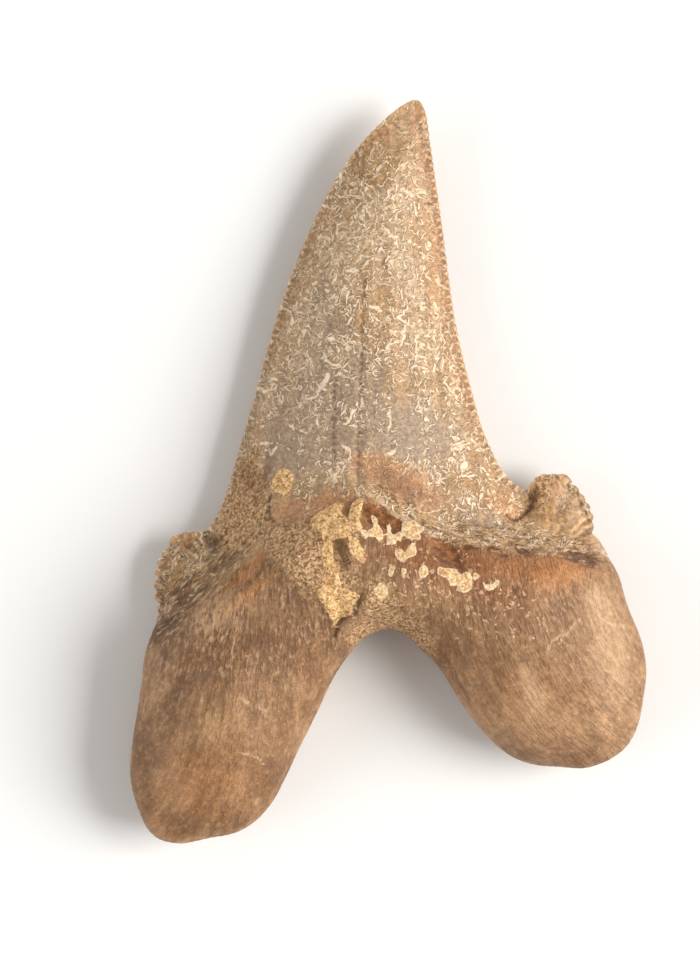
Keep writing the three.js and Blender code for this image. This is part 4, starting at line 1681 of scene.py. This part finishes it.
@dataclass(frozen=True)
class Cover:
    """The patches of one ground, as they lie over what is under them.

    Attributes:
        ground: Their ground.
        finish: Their finish.
        fray: How far their borders go in and out.
        soft: How softly their borders fade.
        relief_edge: The depths inside the outline between which their fine relief fades in.
    """

    ground: Ground
    finish: NeckFinish | SandFinish
    fray: float
    soft: float
    relief_edge: Span = (-0.2, 0.1)

    def lay(self, painter: Painter, under: Layered) -> Layered:
        """Lays the patches over what is under them.

        Args:
            painter: The material's painter.
            under: What is under them.

        Returns:
            The two together.
        """
        depth = painter.mark(self.ground)
        share = painter.rise(painter.frayed(depth, self.fray), -self.soft, self.soft)
        cover = self.finish.lay(painter)
        return under.covered(painter, cover, share, painter.rise(depth, *self.relief_edge))


@dataclass(frozen=True)
class FossilFinish:
    """The whole tooth's finish: enamel over root, with the neck's patches laid over both.

    Attributes:
        enamel: The crown's finish.
        root: The root's finish.
        enamel_edge: The distances from the enamel's lower border between which it ends.
        edge_fray: How far that end goes in and out.
        old_covers: The patches under the umber stain and its painted shade.
        umber: The umber stain, which also paints shade beside the cusplets and at the arch's rim.
        umber_fray: How much that frays.
        new_covers: The patches over it.
        crust_rim: The pale rim around a crust.
        rim_fray: How far that goes in and out.
        rim_shift: How far out of the crust's outline it lies, or in if negative.
        strand_size: The size along, across and out of the strands that run along the neck.
        light_strand: The light strands.
        straw: Their colour on ochre ground.
        light_height: How high they are.
        dark_strand: The dark strands between them.
        dark_depth: How deep those are.
        lines: The colours along grooves and cracks, and the painted shadow along some of them.
        line_fray: How much those fray.
        mottled: The least and the most that the mottle multiplies the colours with.
        specular: How strongly the tooth reflects.
    """

    enamel: EnamelFinish = EnamelFinish()
    root: RootFinish = RootFinish()
    enamel_edge: Span = (-1.0, 0.3)
    edge_fray: float = 2.6
    old_covers: tuple[Cover, ...] = (
        Cover(Ground.GLAZE, NeckFinish(), 0.9, 0.1),
        Cover(Ground.GRIT, SandFinish("#B1865A", "#98704A", "#EBC79C", "#5E4026", 0.18, 0.6), 3.0, 0.8),
    )
    umber: Coat = Coat("#694627", 0.1, 0.9, 0.85)
    umber_fray: float = 0.9
    new_covers: tuple[Cover, ...] = (
        Cover(Ground.MATRIX, SandFinish("#E0AF6F", "#C99054", "#F5DAAE", "#744E2E", 0.12, 0.45), 0.8, 0.07),
        Cover(Ground.CRUST, SandFinish("#DFB27C", "#CE9A62", "#F0D6AD", "#AF875B", 0.06, 0.0), 0.55, 0.05),
    )
    crust_rim: Coat = Coat("#EEDAB9", 0.12, 0.02, 0.55)
    rim_fray: float = 0.55
    rim_shift: float = -0.07
    strand_size: Triple = (0.9, 0.3, 1.0)
    light_strand: Coat = Coat("#D8B894", 0.54, 0.66, 0.75)
    straw: str = "#D9B684"
    light_height: float = 0.06
    dark_strand: Coat = Coat("#553A22", 0.47, 0.37, 0.62)
    dark_depth: float = 0.08
    lines: tuple[tuple[Tone, Coat], ...] = (
        (Tone.PALE, Coat("#D8B894", 0.2, 0.06, 0.6)),
        # Painted shadow along the crack by the kite, the slit and the plate's edge.
        (Tone.DARK, Coat("#553A22", 0.27, 0.05, 0.7)),
        (Tone.FAINT, Coat("#553A22", 0.27, 0.05, 0.42)),
    )
    line_fray: float = 0.6
    mottled: Span = (0.88, 1.12)
    specular: float = 0.4

    def material(self) -> bpy.types.Material:
        """Builds the tooth's material.

        Returns:
            The material.
        """
        painter = Painter("fossil_tooth")
        below = painter.mark("enamel_mm")
        frayed = painter.frayed(below, self.edge_fray)
        top, enamel = self.root.lay(painter), self.enamel.lay(painter)
        share = painter.rise(frayed, *self.enamel_edge)
        top = top.covered(painter, enamel, share, painter.rise(below, *self.enamel_edge))
        for cover in self.old_covers:
            top = cover.lay(painter, top)
        # The umber coat holds dark stains, and painted shade in the hollows beside the cusplets and at the
        # arch's rim.
        umber = painter.frayed(painter.mark(Tint.UMBER), self.umber_fray)
        top = replace(top, colour=painter.coat(top.colour, umber, self.umber))
        for cover in self.new_covers:
            top = cover.lay(painter, top)
        colour, height = self.lined(painter, top)
        colour = painter.shade(colour, painter.mottle, *self.mottled)
        return painter.finish(colour, top.roughness, height, self.specular)

    def lined(self, painter: Painter, under: Layered) -> tuple[Value, Value]:
        """Lays the crusts' rims, the strands along the neck, the seams and the cracks over the grounds.

        Args:
            painter: The material's painter.
            under: What lies under them.

        Returns:
            The colour and the relief.
        """
        frayed = painter.times(painter.ragged, self.rim_fray)
        from_crust = painter.math("ABSOLUTE", painter.add(painter.mark(Ground.CRUST), frayed, self.rim_shift))
        colour = painter.coat(under.colour, from_crust, self.crust_rim)
        strands = painter.noise(self.strand_size, detail=2.0, rough=0.62, warp=0.5, place=painter.by_neck)
        where = painter.rise(painter.frayed(painter.mark(Tint.FIBRE), 0.9), 0.1, 0.8)
        light, dark = (
            painter.times(painter.rise(strands, coat.start, coat.full), where)
            for coat in (self.light_strand, self.dark_strand)
        )
        hue = painter.blend(painter.mark(Tint.OCHRE), paint(self.light_strand.code), paint(self.straw))
        colour = painter.blend(painter.times(light, self.light_strand.most), colour, hue)
        hue = paint(self.dark_strand.code)
        colour = painter.blend(painter.times(dark, self.dark_strand.most), colour, hue)
        frayed = painter.times(painter.fine, self.line_fray)
        for tone, coat in self.lines:
            colour = painter.coat(colour, painter.add(painter.mark(tone), frayed), coat)
        light, dark = painter.times(light, self.light_height), painter.times(dark, -self.dark_depth)
        return colour, painter.add(under.height, light, dark)


# ------------------------------------------------------------------ the studio


@dataclass(frozen=True)
class Lamp:
    """A soft square light that looks at the tooth.

    Attributes:
        name: Its name.
        place: Where it stands.
        side: The length of its sides.
        watts: Its power.
    """

    name: str
    place: Triple
    side: float
    watts: float

    def build(self) -> bpy.types.Object:
        """Makes the light.

        Returns:
            The light's object.
        """
        light = bpy.data.lights.new(self.name, "AREA")
        light.shape = "SQUARE"
        light.size = self.side * MM
        light.energy = self.watts
        lamp = bpy.data.objects.new(self.name, light)
        lamp.location = Vector(self.place) * MM
        lamp.rotation_euler = (-lamp.location).to_track_quat("-Z", "Y").to_euler()
        bpy.context.collection.objects.link(lamp)
        return lamp


@dataclass
class Studio:
    """A plain pale floor, soft light from the distal side, and a camera straight above the tooth.

    Attributes:
        floor_side: The length of the floor's sides.
        floor_colour: The floor's colour.
        floor_roughness: How rough the floor is.
        sky: The strength of the even light from all around.
        lamps: The soft lights.
        camera_height: How high above the floor the camera hangs.
        aim: The point that it looks down on.
        view_height: How much of the floor the picture's height takes in, at the height of the tooth's rim.
        rim_height: How high the tooth's rim lies.
        nearest_seen: How near to it the camera still sees things.
    """

    floor_side: float = 4000.0
    floor_colour: str = "#F6F4F0"
    floor_roughness: float = 0.9
    sky: float = 0.38
    lamps: tuple[Lamp, ...] = (
        Lamp("key", (1020.0, -30.0, 780.0), 780.0, 20.25),
        Lamp("fill", (-1020.0, -180.0, 480.0), 780.0, 4.68),
    )
    camera_height: float = 350.0
    aim: Point = (-3.99, -0.58)
    view_height: float = 100.275
    rim_height: float = 4.0
    nearest_seen: float = 10.0

    def build(self) -> None:
        """Makes the floor, the lights and the camera."""
        self.build_floor()
        world = bpy.data.worlds.new("studio")
        world.use_nodes = True
        background = world.node_tree.nodes["Background"]
        background.inputs["Color"].default_value = (1.0, 1.0, 1.0, 1.0)
        background.inputs["Strength"].default_value = self.sky
        bpy.context.scene.world = world
        for lamp in self.lamps:
            lamp.build()
        self.build_camera()
        bpy.context.scene.view_settings.view_transform = "Standard"

    def build_floor(self) -> None:
        """Makes the floor, with a plain pale material."""
        shape = bmesh.new()
        bmesh.ops.create_grid(shape, x_segments=1, y_segments=1, size=self.floor_side / 2 * MM)
        mesh = bpy.data.meshes.new("floor")
        shape.to_mesh(mesh)
        shape.free()
        floor = bpy.data.objects.new("floor", mesh)
        bpy.context.collection.objects.link(floor)
        material = bpy.data.materials.new("floor")
        material.use_nodes = True
        surface = material.node_tree.nodes["Principled BSDF"]
        surface.inputs["Base Color"].default_value = paint(self.floor_colour)
        surface.inputs["Roughness"].default_value = self.floor_roughness
        mesh.materials.append(material)

    def build_camera(self) -> None:
        """Makes the camera, which looks straight down."""
        lens = bpy.data.cameras.new("camera")
        lens.sensor_fit = "VERTICAL"
        lens.lens = lens.sensor_height * (self.camera_height - self.rim_height) / self.view_height
        lens.clip_start = self.nearest_seen * MM
        camera = bpy.data.objects.new("camera", lens)
        camera.location = Vector((*self.aim, self.camera_height)) * MM
        bpy.context.collection.objects.link(camera)
        bpy.context.scene.camera = camera


# ------------------------------------------------------------------ all of it


def main() -> None:
    """Builds the studio and the tooth."""
    logging.basicConfig(level=logging.INFO, format="%(name)s: %(message)s")
    Studio().build()
    tooth = Tooth()
    piece = tooth.build()
    piece.data.materials.append(FossilFinish().material())
    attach(piece, "root")
    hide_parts(tooth.node)
    log.info("%s: %d vertices, %d faces", piece.name, len(piece.data.vertices), len(piece.data.polygons))


if __name__ == "__main__":
    main()
